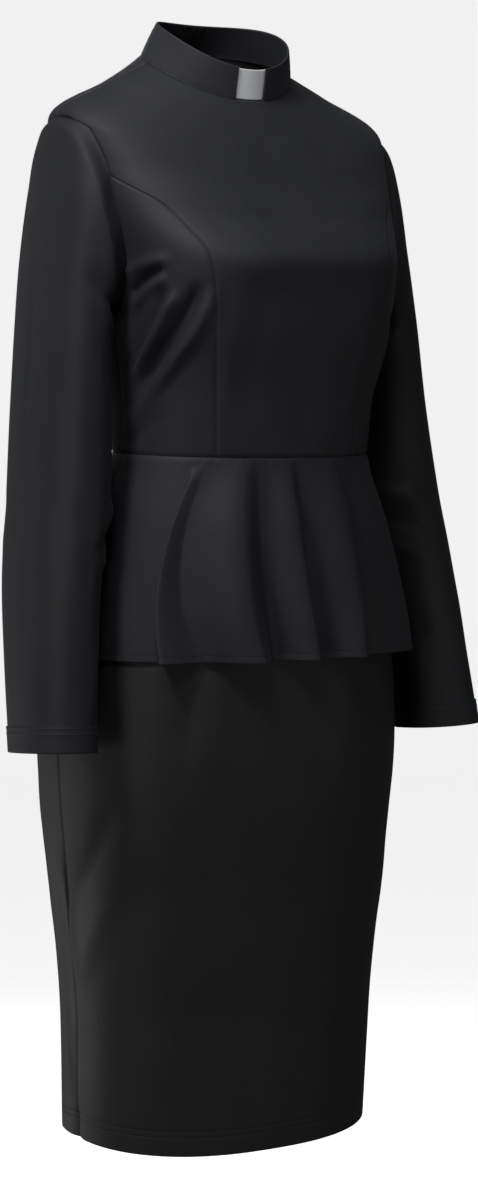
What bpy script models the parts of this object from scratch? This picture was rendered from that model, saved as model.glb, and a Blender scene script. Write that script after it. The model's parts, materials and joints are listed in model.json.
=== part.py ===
"""Clergy dress: stand collar with a white tab, long sleeves, princess seams, flared peplum, slim skirt.

Frame: metres, +Z up. The wearer faces -Y and the wearer's right is at -X.
The origin is the middle of the neck, at the height where collar and shoulder seam meet.
Each piece of cloth is an open surface lofted through sections and given its wall by Solidify.
Sections, seams and folds are in the tables below, in millimetres and degrees. An angle is measured
round the body from the centre front: 90 is the wearer's left side, -90 the right side, 180 the back.
A level runs from 0 at the top ring of a table to 1 at its last ring.
"""
import math

import bpy
import numpy as np

MM = 0.001
PART_NAME = "clergy_dress"

# Walls and seams
WALL = 1.6
COLLAR_WALL = 1.8
TAB_WALL = 1.0
TAPE_WALL = 1.0
SEAM_GAP = 0.3
SHOULDER_INSET = 0.4

# Rings of the body of the dress
RING_COLUMNS = ("level", "half_width", "front_y", "side_y", "back_y",
                "front_z", "side_z", "back_z", "front_square", "back_square")
BODICE_RINGS = (
    (0.00, 80, -65, 0, 63, -40, 0, 20, 2.0, 2.0),
    (0.12, 124, -84, 3, 76, -72, -22, -44, 2.1, 2.1),
    (0.27, 185, -112, 4, 88, -118, -60, -104, 2.4, 2.3),
    (0.42, 171, -146, -6, 92, -162, -122, -124, 2.8, 2.6),
    (0.60, 148, -183, -30, 86, -214, -216, -212, 3.1, 2.5),
    (0.72, 142, -172, -38, 76, -272, -272, -270, 2.9, 2.4),
    (0.86, 137, -156, -44, 64, -338, -338, -336, 2.4, 2.3),
    (1.00, 135, -146, -48, 54, -400, -396, -394, 2.2, 2.2),
)
SKIRT_RINGS = (
    (0.00, 132, -143, -48, 51, -400, -396, -394, 2.2, 2.2),
    (0.12, 152, -150, -30, 92, -474, -474, -474, 2.4, 2.3),
    (0.28, 172, -152, -10, 125, -574, -574, -574, 2.5, 2.4),
    (0.45, 184, -148, 0, 142, -690, -690, -690, 2.5, 2.5),
    (0.64, 172, -126, -2, 122, -850, -850, -850, 2.5, 2.5),
    (0.82, 163, -114, 0, 114, -965, -965, -965, 2.5, 2.5),
    (1.00, 160, -108, 4, 112, -1089, -1080, -1082, 2.4, 2.5),
)
# The neck ring and the top edge of the stand collar that rises from it
COLLAR_RINGS = (
    (0.00, 80, -65, 0, 63, -40, 0, 20, 2.0, 2.0),
    (1.00, 70, -72, -14, 44, -9, 33, 48, 2.0, 2.0),
)

# Seams on the bodice, each from the wearer's left side and mirrored for the right
SEAM_COLUMNS = ("share", "angle", "level")
SHOULDER_TIP_LEVEL = 0.27
UNDERARM_LEVEL = 0.69
ARMHOLE = (
    (0.00, 90.0, 0.270),
    (0.05, 80.0, 0.269),
    (0.09, 75.0, 0.275),
    (0.17, 69.5, 0.345),
    (0.22, 68.3, 0.390),
    (0.30, 68.5, 0.470),
    (0.37, 71.0, 0.550),
    (0.43, 76.0, 0.622),
    (0.47, 82.0, 0.668),
    (0.50, 90.0, 0.690),
    (0.54, 102.0, 0.676),
    (0.60, 113.0, 0.630),
    (0.68, 117.5, 0.550),
    (0.77, 115.0, 0.460),
    (0.86, 109.5, 0.370),
    (0.94, 101.0, 0.292),
    (1.00, 90.0, 0.270),
)
ARMHOLE_AT_PRINCESS = 0.22
ARMHOLE_AT_UNDERARM = 0.50
PRINCESS_SEAM = (
    (0.000, 68.3, 0.390),
    (0.100, 60.0, 0.402),
    (0.160, 53.0, 0.416),
    (0.235, 47.0, 0.447),
    (0.310, 42.0, 0.500),
    (0.390, 38.3, 0.560),
    (0.475, 37.6, 0.625),
    (0.630, 39.2, 0.735),
    (0.765, 41.0, 0.830),
    (0.885, 42.6, 0.915),
    (1.000, 43.6, 1.000),
)
PRINCESS_START = 0.012

# Folds pulled in the cloth: a ridge where height is above 0, a trough where it is below
FOLD_COLUMNS = ("from_angle", "from_z", "to_angle", "to_z", "half_width", "height")
FOLD_ARC_PER_DEGREE = 2.6
BODICE_FOLDS = (
    (-50, -207, -79, -246, 11, -3.2),
    (-47, -222, -84, -330, 12, 3.6),
    (-42, -230, -88, -350, 11, -3.4),
    (-36, -226, -88, -376, 13, 3.8),
    (-60, -330, -92, -392, 11, -2.2),
    (49, -210, 80, -250, 12, -3.0),
    (46, -226, 86, -322, 12, 3.4),
    (41, -234, 89, -356, 11, -3.0),
    (36, -222, 90, -384, 14, 3.4),
    (-34, -216, 34, -212, 15, 2.0),
    (-30, -248, 30, -244, 26, -2.6),
)

# Cross sections of a sleeve from the shoulder to the cuff, for the wearer's left arm
SLEEVE_COLUMNS = ("fit", "outer_x", "outer_y", "outer_z", "inner_x", "inner_y", "inner_z",
                  "half_depth", "square")
SLEEVE_SECTIONS = (
    (0.55, 189.5, 4, -66, 150, -33, -258, 66, 2.1),
    (0.90, 195, 3, -86, 153, -31, -256, 66, 2.2),
    (1.00, 199, 1, -115, 155, -28, -255, 66, 2.3),
    (1.00, 205, 0, -155, 155, -23, -259, 66, 2.4),
    (1.00, 211.5, -3, -205, 154, -18, -270, 67, 2.5),
    (1.00, 218, -8, -265, 152, -12, -296, 69, 2.5),
    (1.00, 226.5, -13, -344, 151, -13, -352, 70, 2.4),
    (1.00, 239, -24, -443, 156, -24, -446, 69, 2.3),
    (1.00, 248, -33, -515, 171, -33, -517, 67, 2.3),
    (1.00, 257, -51, -599, 183, -51, -600, 60, 2.3),
    (1.00, 265, -70, -681, 191, -70, -684, 52, 2.2),
)
SLEEVE_RINGS = 17
UNDERARM_CLEARANCE = 0.6
CUFF_LIFT_AT_FRONT = 4.0
CUFF_LIFT_RUN = 2.0
# Creases of a sleeve, by the angle round it (0 outer, 90 front, 180 inner) and the height
SLEEVE_ARC_PER_DEGREE = 0.9
SLEEVE_FOLDS = (
    (60, -215, 175, -285, 12, 2.6),
    (75, -240, 180, -322, 10, -2.4),
    (95, -452, 200, -436, 10, -2.8),
    (70, -474, 190, -462, 11, 2.8),
    (110, -500, 215, -492, 10, -2.2),
    (215, -470, 330, -446, 13, 2.0),
)

# Peplum: where it ends on the skirt's levels, how far it stands off, and its flares
PEPLUM_END_LEVEL = 0.315
PEPLUM_STANDOFF = 3.8
PEPLUM_EXTRA_AT_HEM = 1.0
FLARE_COLUMNS = ("top_from", "top_to", "low_from", "low_to", "bow_from", "bow_to",
                 "height", "start", "lean", "steep")
FRONT_FLARES = (
    (-54.0, -46.0, -51.0, -37.5, -2.0, -7.2, 22, 0.06, -0.30, -1),
    (-46.0, -20.0, -37.5, -9.5, -7.2, -0.6, 26, 0.00, 0.16, 1),
    (-20.0, 3.0, -9.5, 7.5, -0.6, -0.5, 22, 0.00, 0.10, 1),
    (3.0, 35.0, 7.5, 28.5, -0.5, 0.5, 20, 0.00, 0.08, 1),
    (35.0, 65.0, 28.5, 64.0, 0.5, 0.0, 20, 0.00, 0.05, 1),
)
BACK_LEFT_FLARES = (
    (103.0, 124.0, 101.0, 124.0, 0.0, 1.0, 19, 0.05, 0.10, 1),
    (124.0, 148.0, 124.0, 147.0, 1.0, -1.0, 25, 0.00, -0.10, -1),
    (148.0, 171.0, 147.0, 170.0, -1.0, 0.0, 22, 0.03, 0.08, 1),
)
BACK_RIGHT_FLARES = (
    (-171.0, -146.0, -170.0, -148.0, 0.0, 1.5, 23, 0.02, -0.08, -1),
    (-146.0, -125.0, -148.0, -122.0, 1.5, -1.0, 24, 0.00, 0.10, 1),
    (-125.0, -101.0, -122.0, -102.0, -1.0, 0.0, 20, 0.06, -0.10, -1),
)
FLARE_STATIONS = (0.0, 0.15, 0.3, 0.45, 0.62, 0.74, 0.84, 0.93)
FLARE_RISE = 0.64
FLARE_FALL_FROM = 0.66
FLARE_FALL = 0.28
FLARE_GROWTH = 1.15

# Centre-back openings that spread towards the hem
BACK_SLIT_LEVEL = 0.84
BACK_SLIT_SPREAD = 2.5
PEPLUM_OPENING_SPREAD = 2.0

# Collar notch, tab and zip
NOTCH_HALF_WIDTH = 16.0
TAPE_WIDTH = 12.0
TAPE_SKIRT_ROWS = 6
TAPE_TOP, TAPE_LOW_ON_COLLAR = 0.96, 0.10
TAPE_SINK_FROM, TAPE_SINK_RUN = 0.72, 0.20
SLIDER_SIZE = (7.0, 2.2, 9.0)
SLIDER_DROP = 7.0
BRIDGE_WIDTH = 1.6
BRIDGE_POST = 0.8
BRIDGE_TUNNEL = 1.7
PULL_SIZE = (5.0, 1.0, 18.5)
PULL_WINDOW = (2.3, 3.7)

# Steps of the panels
SHOULDER_STEPS = 4
FRONT_ARMHOLE_STEPS = 4
SIDE_ARMHOLE_STEPS = 12
BACK_ARMHOLE_STEPS = 10
SIDE_SEAM_STEPS = 8
FRONT_COLUMNS = 14
SIDE_COLUMNS = 9
BACK_COLUMNS = 8
SKIRT_ROWS_BELOW_PEPLUM = 8
SKIRT_FRONT_COLUMNS = 20
SKIRT_BACK_COLUMNS = 10
PEPLUM_ROWS = 6
FLAT_STEP_DEGREES = 9.0
COLLAR_ROWS = 3
COLLAR_COLUMNS = 13
TAB_COLUMNS = 6

LEFT = 1
RIGHT = -1


def columns(names, rows):
    """Table rows as one array for each named column."""
    return dict(zip(names, np.array(rows, dtype=float).T))


def spline(knots, values, at):
    """Smooth curve through the knots that never swings past a value (Fritsch-Carlson slopes)."""
    at = np.asarray(at, dtype=float)
    step = np.diff(knots)
    slope = np.diff(values) / step
    tangent = np.concatenate([slope[:1], np.zeros(len(slope) - 1), slope[-1:]])
    same_way = slope[1:] * slope[:-1] > 0
    before, after = slope[:-1][same_way], slope[1:][same_way]
    near = (step[:-1] + 2 * step[1:])[same_way]
    far = (2 * step[:-1] + step[1:])[same_way]
    tangent[1:-1][same_way] = (near + far) / (far / before + near / after)
    cell = np.clip(np.searchsorted(knots, at, side="right") - 1, 0, len(step) - 1)
    t = (at - knots[cell]) / step[cell]
    return ((2 * t ** 3 - 3 * t ** 2 + 1) * values[cell]
            + (t ** 3 - 2 * t ** 2 + t) * step[cell] * tangent[cell]
            + (3 * t ** 2 - 2 * t ** 3) * values[cell + 1]
            + (t ** 3 - t ** 2) * step[cell] * tangent[cell + 1])


def smooth_step(t):
    """Ease from 0 to 1."""
    t = np.clip(t, 0.0, 1.0)
    return t * t * (3.0 - 2.0 * t)


def unit(vectors):
    """Vectors scaled to length 1."""
    return vectors / np.maximum(np.linalg.norm(vectors, axis=-1, keepdims=True), 1e-12)


def outward(angle):
    """Horizontal direction away from the body's axis."""
    a = np.radians(angle)
    return np.stack([np.sin(a), -np.cos(a), np.zeros_like(a)], axis=-1)


def ring_point(rings, level, angle):
    """Point on a stack of superellipse rings: its height follows front, side and back heights."""
    ring = columns(RING_COLUMNS, rings)
    level, angle = np.broadcast_arrays(np.asarray(level, float), np.asarray(angle, float))
    row = {name: spline(ring["level"], ring[name], level) for name in RING_COLUMNS[1:]}
    across = np.abs(np.sin(np.radians(angle)))
    along = np.cos(np.radians(angle))
    in_front = along >= 0
    depth = np.where(in_front, row["side_y"] - row["front_y"], row["back_y"] - row["side_y"])
    square = np.where(in_front, row["front_square"], row["back_square"])
    reach = ((across / row["half_width"]) ** square + (np.abs(along) / depth) ** square) ** (-1 / square)
    share = -reach * along / depth
    z = (row["side_z"] + share * (row["back_z"] - row["front_z"]) / 2
         + share ** 2 * ((row["back_z"] + row["front_z"]) / 2 - row["side_z"]))
    return np.stack([reach * np.sin(np.radians(angle)), row["side_y"] - reach * along, z], axis=-1)


def fold_height(folds, arc_per_degree, angle, z):
    """Sum of the folds at a place: each fades off to its sides and towards both its ends."""
    total = np.zeros(np.broadcast(angle, z).shape)
    for row in folds:
        fold = dict(zip(FOLD_COLUMNS, row))
        turn = (fold["to_angle"] - fold["from_angle"]) * arc_per_degree
        run = np.array([turn, fold["to_z"] - fold["from_z"]])
        u = (angle - fold["from_angle"]) * arc_per_degree
        w = z - fold["from_z"]
        share = np.clip((u * run[0] + w * run[1]) / (run @ run), 0.0, 1.0)
        away = np.hypot(u - share * run[0], w - share * run[1])
        fade = np.sin(np.pi * np.clip(share, 0.03, 0.97)) ** 0.7
        total += fold["height"] * fade * np.exp(-(away / fold["half_width"]) ** 2)
    return total


def bodice_point(level, angle):
    """Point on the bodice, with its folds."""
    base = ring_point(BODICE_RINGS, level, angle)
    angle = np.broadcast_to(angle, base.shape[:-1])
    height = fold_height(BODICE_FOLDS, FOLD_ARC_PER_DEGREE, angle, base[..., 2])
    return base + outward(angle) * height[..., None]


def skirt_point(level, angle):
    """Point on the skirt."""
    return ring_point(SKIRT_RINGS, level, angle)


def surface_normal(point, level, angle):
    """Outward unit normal of a surface given as a function of level and angle."""
    small_level, small_angle = 0.002, 0.25
    down = point(level + small_level, angle) - point(level - small_level, angle)
    around = point(level, angle + small_angle) - point(level, angle - small_angle)
    return unit(np.cross(down, around))


def seam(rows, share):
    """Angle and level along a seam of the wearer's left side."""
    line = columns(SEAM_COLUMNS, rows)
    return spline(line["share"], line["angle"], share), spline(line["share"], line["level"], share)


def square_to(line, direction):
    """Unit directions with their part along a line of points taken away."""
    tangent = unit(np.gradient(line, axis=0))
    along = np.sum(direction * tangent, axis=-1, keepdims=True)
    return unit(direction - along * tangent)


def inset(grid, first_row=0.0, last_row=0.0, first_column=0.0, last_column=0.0):
    """Grid whose edges are drawn in along the cloth; a column may have a distance for each row."""
    grid = grid.copy()
    for edge, inner, distance in ((0, 1, first_row), (-1, -2, last_row)):
        grid[edge] += square_to(grid[edge], grid[inner] - grid[edge]) * distance
    for edge, inner, distance in ((0, 1, first_column), (-1, -2, last_column)):
        inward = square_to(grid[:, edge], grid[:, inner] - grid[:, edge])
        grid[:, edge] += inward * np.reshape(distance, (-1, 1))
    return grid


def shoulder_inset(rows):
    """Distance to draw in each row's end where the first rows meet at the rounded shoulder."""
    return np.where(np.arange(rows) <= SHOULDER_STEPS, SHOULDER_INSET, SEAM_GAP / 2)


def panel_grid(point, left, right, steps, centre_level=None):
    """Surface points between two seams, each an array of (angle, level) rows.

    A centre level, where it is given, bends each row towards it in the middle.
    """
    share = np.linspace(0.0, 1.0, steps + 1)
    angle = left[:, 0:1] * (1 - share) + right[:, 0:1] * share
    level = left[:, 1:2] * (1 - share) + right[:, 1:2] * share
    if centre_level is not None:
        bend = 4 * share * (1 - share)
        level = level * (1 - bend) + centre_level[:, None] * bend
    return point(level, angle)


def make_material(name, colour, roughness, metallic=0.0):
    """Principled material from an sRGB colour written as RRGGBB."""
    channels = [int(colour[i:i + 2], 16) / 255 for i in (0, 2, 4)]
    linear = [c / 12.92 if c <= 0.04045 else ((c + 0.055) / 1.055) ** 2.4 for c in channels]
    material = bpy.data.materials.new(name)
    material.use_nodes = True
    shader = material.node_tree.nodes["Principled BSDF"]
    shader.inputs["Base Color"].default_value = (*linear, 1.0)
    shader.inputs["Roughness"].default_value = roughness
    shader.inputs["Metallic"].default_value = metallic
    return material


def add_object(collection, name, mesh, material):
    """Object that holds a mesh, in the part's collection, with its material."""
    mesh.materials.append(material)
    item = bpy.data.objects.new(name, mesh)
    collection.objects.link(item)
    return item


def add_cloth(collection, name, grid, material, wall=WALL, tube=False):
    """Cloth lofted through a grid of points in millimetres: rows run down, columns run round."""
    rows, across = grid.shape[:2]
    last = across if tube else across - 1
    faces = [(r * across + c, r * across + (c + 1) % across,
              (r + 1) * across + (c + 1) % across, (r + 1) * across + c)
             for r in range(rows - 1) for c in range(last)]
    mesh = bpy.data.meshes.new(name)
    mesh.from_pydata((grid.reshape(-1, 3) * MM).tolist(), [], faces)
    mesh.update()
    item = add_object(collection, name, mesh, material)
    shell = item.modifiers.new("wall", "SOLIDIFY")
    shell.thickness = wall * MM
    shell.offset = 0.0
    shell.use_even_offset = False
    shell.use_quality_normals = True
    return item


def add_box(collection, name, size, centre, material=None):
    """Box in millimetres, about a centre in its own frame."""
    bpy.ops.mesh.primitive_cube_add(size=1.0)
    item = bpy.context.object
    item.name = name
    item.data.name = name
    for vertex in item.data.vertices:
        vertex.co = [(c + s * v) * MM for c, s, v in zip(centre, size, vertex.co)]
    for holder in list(item.users_collection):
        holder.objects.unlink(item)
    collection.objects.link(item)
    if material:
        item.data.materials.append(material)
    return item


def join_shape(item, tool, operation):
    """Boolean of an item with a tool from the cutters' collection."""
    tool.hide_render = True
    change = item.modifiers.new(tool.name, "BOOLEAN")
    change.operation = operation
    change.object = tool


def princess_line():
    """Princess seam of the left side as (angle, level) rows, closer where it curves."""
    steps = SIDE_ARMHOLE_STEPS + SIDE_SEAM_STEPS
    share = np.linspace(0.0, 1.0, steps + 1)
    share[0] = PRINCESS_START
    return np.stack(seam(PRINCESS_SEAM, share), axis=-1)


def armhole_line(first, last, steps):
    """Part of the left armhole as (angle, level) rows."""
    return np.stack(seam(ARMHOLE, np.linspace(first, last, steps + 1)), axis=-1)


def shoulder_line():
    """Left shoulder seam as (angle, level) rows, from the neck to the shoulder tip."""
    level = np.linspace(0.0, SHOULDER_TIP_LEVEL, SHOULDER_STEPS + 1)
    return np.stack([np.full_like(level, 90.0), level], axis=-1)


def side_line():
    """Left side seam of the bodice as (angle, level) rows, from the underarm to the waist."""
    level = np.linspace(UNDERARM_LEVEL, 1.0, SIDE_SEAM_STEPS + 1)
    return np.stack([np.full_like(level, 90.0), level], axis=-1)


def centre_back_levels():
    """Levels of the back panels' rows at the centre back."""
    upper = np.linspace(0.0, SHOULDER_TIP_LEVEL, SHOULDER_STEPS + 1)[:-1]
    middle = np.linspace(SHOULDER_TIP_LEVEL, UNDERARM_LEVEL, BACK_ARMHOLE_STEPS + 1)[:-1]
    lower = np.linspace(UNDERARM_LEVEL, 1.0, SIDE_SEAM_STEPS + 1)
    return np.concatenate([upper, middle, lower])


def skirt_levels():
    """Levels of the skirt's rows: those under the peplum are the peplum's own."""
    under = np.linspace(0.0, PEPLUM_END_LEVEL, PEPLUM_ROWS + 1)[:-1]
    return np.concatenate([under, np.linspace(PEPLUM_END_LEVEL, 1.0, SKIRT_ROWS_BELOW_PEPLUM + 1)])


def mirrored(line):
    """Seam line on the wearer's right side."""
    return line * np.array([-1.0, 1.0])


def add_bodice_front(collection, material):
    """Centre front panel: neck, shoulders, upper armholes and princess seams."""
    left = np.concatenate([shoulder_line()[:-1],
                           armhole_line(0.0, ARMHOLE_AT_PRINCESS, FRONT_ARMHOLE_STEPS)[:-1],
                           princess_line()])
    upper = SHOULDER_STEPS + FRONT_ARMHOLE_STEPS
    centre = left[:, 1].copy()
    centre[SHOULDER_STEPS:upper + 5] = np.linspace(left[SHOULDER_STEPS, 1], left[upper + 4, 1],
                                                   FRONT_ARMHOLE_STEPS + 5)
    grid = panel_grid(bodice_point, mirrored(left), left, FRONT_COLUMNS, centre)
    half, ends = SEAM_GAP / 2, shoulder_inset(len(left))
    add_cloth(collection, "bodice_front", inset(grid, half, half, ends, ends), material)


def add_bodice_side(collection, name, side, material):
    """Side front panel from the princess seam to the armhole and the side seam."""
    inner = princess_line()
    outer = np.concatenate([armhole_line(ARMHOLE_AT_PRINCESS, ARMHOLE_AT_UNDERARM, SIDE_ARMHOLE_STEPS)[:-1],
                            side_line()])
    outer[0] = seam(ARMHOLE, ARMHOLE_AT_PRINCESS + PRINCESS_START)
    if side == RIGHT:
        grid = panel_grid(bodice_point, mirrored(outer), mirrored(inner), SIDE_COLUMNS)
    else:
        grid = panel_grid(bodice_point, inner, outer, SIDE_COLUMNS)
    half = SEAM_GAP / 2
    add_cloth(collection, name, inset(grid, 0.0, half, half, half), material)


def add_bodice_back(collection, name, side, material):
    """Back panel from the centre back to the shoulder, armhole and side seam."""
    outer = np.concatenate([shoulder_line()[:-1],
                            armhole_line(1.0, ARMHOLE_AT_UNDERARM, BACK_ARMHOLE_STEPS)[:-1],
                            side_line()])
    level = centre_back_levels()
    inner = np.stack([np.full_like(level, 180.0), level], axis=-1)
    half, ends = SEAM_GAP / 2, shoulder_inset(len(level))
    if side == RIGHT:
        grid = panel_grid(bodice_point, mirrored(inner), mirrored(outer), BACK_COLUMNS)
        grid = inset(grid, half, half, half, ends)
    else:
        grid = panel_grid(bodice_point, outer, inner, BACK_COLUMNS)
        grid = inset(grid, half, half, ends, half)
    add_cloth(collection, name, grid, material)


def sleeve_grid(side):
    """Rings of a sleeve, from just outside the armhole seam down to the cuff."""
    side_steps = SIDE_ARMHOLE_STEPS // 2
    share = np.concatenate([np.linspace(0.0, ARMHOLE_AT_PRINCESS, FRONT_ARMHOLE_STEPS + 1)[:-1],
                            np.linspace(ARMHOLE_AT_PRINCESS, ARMHOLE_AT_UNDERARM, side_steps + 1)[:-1],
                            np.linspace(ARMHOLE_AT_UNDERARM, 1.0, BACK_ARMHOLE_STEPS + 1)[:-1]])
    angle, level = seam(ARMHOLE, share)
    hole = bodice_point(level, angle * side) * np.array([side, 1, 1])
    normal = surface_normal(bodice_point, level, angle * side) * np.array([side, 1, 1])
    turn = 2 * np.pi * share
    rows = columns(SLEEVE_COLUMNS, SLEEVE_SECTIONS)
    knots = np.arange(len(SLEEVE_SECTIONS), dtype=float)
    at = np.concatenate([[0.0, 1.0, 2.0], np.linspace(2.0, knots[-1], SLEEVE_RINGS - 2)[1:]])
    ring = {name: spline(knots, rows[name], at)[:, None] for name in SLEEVE_COLUMNS}
    across, forward = np.cos(turn), np.sin(turn)
    reach = (np.abs(across) ** ring["square"] + np.abs(forward) ** ring["square"]) ** (-1 / ring["square"])
    across, forward = across * reach, forward * reach
    x = (ring["outer_x"] + ring["inner_x"]) / 2 + (ring["outer_x"] - ring["inner_x"]) / 2 * across
    y = (ring["outer_y"] + ring["inner_y"]) / 2 + (ring["outer_y"] - ring["inner_y"]) / 2 * across
    y = y - ring["half_depth"] * forward
    z = (ring["outer_z"] + ring["inner_z"]) / 2 + (ring["outer_z"] - ring["inner_z"]) / 2 * across
    z = z + CUFF_LIFT_AT_FRONT * forward * smooth_step((at[:, None] - knots[-1]) / CUFF_LIFT_RUN + 1.0)
    section = np.stack([x, y, z], axis=-1)
    height = fold_height(SLEEVE_FOLDS, SLEEVE_ARC_PER_DEGREE, np.degrees(turn)[None, :], z)
    away = unit(section - section.mean(axis=1, keepdims=True))
    section = section + away * height[..., None]
    fit = ring["fit"][..., None]
    offset = hole - hole.mean(axis=0)
    shaped = section * fit + (section.mean(axis=1, keepdims=True) + offset) * (1 - fit)
    looped = np.concatenate([hole[-1:], hole, hole[:1]])
    outset = np.concatenate([shaped[0, -1:] - hole[-1:], shaped[0] - hole, shaped[0, :1] - hole[:1]])
    travel = square_to(looped, outset)[1:-1]
    start = 1.3 * SEAM_GAP + (WALL / 2 + UNDERARM_CLEARANCE) * np.abs(np.sum(travel * normal, axis=-1))
    first = hole + travel * start[:, None]
    return np.concatenate([first[None], shaped]) * np.array([side, 1, 1])


def add_sleeve(collection, name, side, material):
    """Sleeve: one tube from the armhole to the cuff."""
    grid = sleeve_grid(side)
    if side == RIGHT:
        grid = grid[:, ::-1]
    add_cloth(collection, name, grid, material, tube=True)


def collar_start(travel, angle):
    """How far along its own rise the collar begins, so that it clears the bodice's edge."""
    normal = surface_normal(bodice_point, 0.0, angle)
    return 1.3 * SEAM_GAP + WALL / 2 * np.abs(np.sum(normal * travel, axis=-1, keepdims=True))


def collar_point(height, angle):
    """Point on the collar: height 0 at the neck seam, 1 at the top edge."""
    low = ring_point(COLLAR_RINGS, 0.0, angle)
    top = ring_point(COLLAR_RINGS, 1.0, angle)
    travel = unit(top - low)
    low = low + travel * collar_start(travel, angle)
    height = np.asarray(height, float)
    return low + (top - low) * height[..., None]


def collar_angles():
    """Heights of the collar's rows and the angles of its left half's columns, from the notch."""
    height = np.linspace(1.0, 0.0, COLLAR_ROWS + 1)[:, None]
    low, top = (columns(RING_COLUMNS, COLLAR_RINGS)[name] for name in ("side_y", "front_y"))
    reach = (low - top)[0] + ((low - top)[1] - (low - top)[0]) * height
    notch = np.degrees(np.arctan(NOTCH_HALF_WIDTH / reach))
    angle = notch + (180.0 - notch) * np.linspace(0.0, 1.0, COLLAR_COLUMNS + 1)[None, :]
    return np.broadcast_to(height, angle.shape), angle


def add_collar(collection, name, side, material):
    """Half of the stand collar, from the notch at the front to the zip at the back."""
    height, angle = collar_angles()
    if side == RIGHT:
        angle = -angle[:, ::-1]
    grid = collar_point(height, angle)
    half = SEAM_GAP / 2
    on_first, on_last = (half, 0.0) if side == RIGHT else (0.0, half)
    grid = inset(grid, first_column=on_first, last_column=on_last)
    add_cloth(collection, name, grid, material, wall=COLLAR_WALL)


def add_tab(collection, material):
    """White tab that fills the notch, tucked behind the collar as far as its first column."""
    behind = COLLAR_WALL / 2 + 1.5 * SEAM_GAP + TAB_WALL / 2
    height, collar_angle = collar_angles()
    notch, tuck = collar_angle[:, :1], collar_angle[:, 1:2]
    angle = np.concatenate([-tuck, notch * np.linspace(-1.0, 1.0, TAB_COLUMNS - 1), tuck], axis=1)
    height = np.broadcast_to(height[:, :1], angle.shape)
    grid = collar_point(height, angle) - outward(angle) * behind
    add_cloth(collection, "collar_tab", grid, material, wall=TAB_WALL)


def add_skirt_panel(collection, name, first_angle, last_angle, steps, material, slit_column=None):
    """Skirt panel between two seams; at the centre back its edge draws away below the slit."""
    level = skirt_levels()
    first = np.stack([np.full_like(level, first_angle), level], axis=-1)
    last = np.stack([np.full_like(level, last_angle), level], axis=-1)
    grid = panel_grid(skirt_point, first, last, steps)
    half = SEAM_GAP / 2
    grid = inset(grid, SEAM_GAP, 0.0, half, half)
    if slit_column is not None:
        spread = BACK_SLIT_SPREAD * smooth_step((level - BACK_SLIT_LEVEL) / (1 - BACK_SLIT_LEVEL))
        inner = 1 if slit_column == 0 else -2
        grid[:, slit_column] += unit(grid[:, inner] - grid[:, slit_column]) * spread[:, None]
    add_cloth(collection, name, grid, material)


def flare_columns(flares, first_angle, last_angle):
    """Columns of a peplum panel: angles at top and hem, bow between them, place across a flare, flare row."""
    stations = []
    edge = {"top": first_angle, "low": first_angle, "bow": 0.0}
    for index, row in enumerate([*flares, None]):
        flare = dict(zip(FLARE_COLUMNS, row)) if row else {"top_from": last_angle, "low_from": last_angle,
                                                           "bow_from": 0.0}
        gap = flare["low_from"] - edge["low"]
        if gap > 0.01:
            steps = max(1, round(gap / FLAT_STEP_DEGREES))
            for share in np.arange(steps) / steps:
                place = [edge[key] + (flare[key + "_from"] - edge[key]) * share
                         for key in ("top", "low", "bow")]
                stations.append((*place, 0.0, -1))
        if row:
            flipped = [0.0] + [1 - share for share in FLARE_STATIONS[:0:-1]]
            for share in FLARE_STATIONS if flare["steep"] > 0 else flipped:
                place = [flare[key + "_from"] + (flare[key + "_to"] - flare[key + "_from"]) * share
                         for key in ("top", "low", "bow")]
                stations.append((*place, share, index))
            edge = {key: flare[key + "_to"] for key in ("top", "low", "bow")}
    stations.append((last_angle, last_angle, 0.0, 0.0, -1))
    return stations


def flare_profile(share, steep):
    """Height across a flare, from 0 to 1: a slow rise, a steep fall and a flat strip beside it."""
    place = share if steep > 0 else 1 - share
    return smooth_step(place / FLARE_RISE) * (1 - smooth_step((place - FLARE_FALL_FROM) / FLARE_FALL))


def peplum_grid(flares, first_angle, last_angle):
    """Peplum panel: the skirt's surface moved out, more so along each flare."""
    drop = np.linspace(0.0, 1.0, PEPLUM_ROWS + 1)
    grid = []
    for top_angle, low_angle, bow, share, index in flare_columns(flares, first_angle, last_angle):
        angle = top_angle + (low_angle - top_angle) * drop + bow * 4 * drop * (1 - drop)
        point = skirt_point(drop * PEPLUM_END_LEVEL, angle)
        out = PEPLUM_STANDOFF + PEPLUM_EXTRA_AT_HEM * drop
        shift = np.zeros_like(drop)
        if index >= 0:
            flare = dict(zip(FLARE_COLUMNS, flares[index]))
            grown = np.clip((drop - flare["start"]) / (1 - flare["start"]), 0.0, 1.0) ** FLARE_GROWTH
            rise = flare["height"] * grown * flare_profile(share, flare["steep"])
            out = out + rise
            shift = flare["lean"] * rise
        sideways = np.cross(np.array([0.0, 0.0, 1.0]), outward(angle))
        grid.append(point + outward(angle) * out[:, None] + sideways * shift[:, None])
    return np.stack(grid, axis=1)


def add_peplum_panel(collection, name, flares, first_angle, last_angle, material, open_column=None):
    """Peplum panel between two seams; at the centre back its edge draws away towards the hem."""
    grid = peplum_grid(flares, first_angle, last_angle)
    half = SEAM_GAP / 2
    grid = inset(grid, 2 * SEAM_GAP, 0.0, half, half)
    if open_column is not None:
        spread = PEPLUM_OPENING_SPREAD * np.linspace(0.0, 1.0, PEPLUM_ROWS + 1)
        inner = 1 if open_column == 0 else -2
        grid[:, open_column] += unit(grid[:, inner] - grid[:, open_column]) * spread[:, None]
    add_cloth(collection, name, grid, material)


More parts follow.
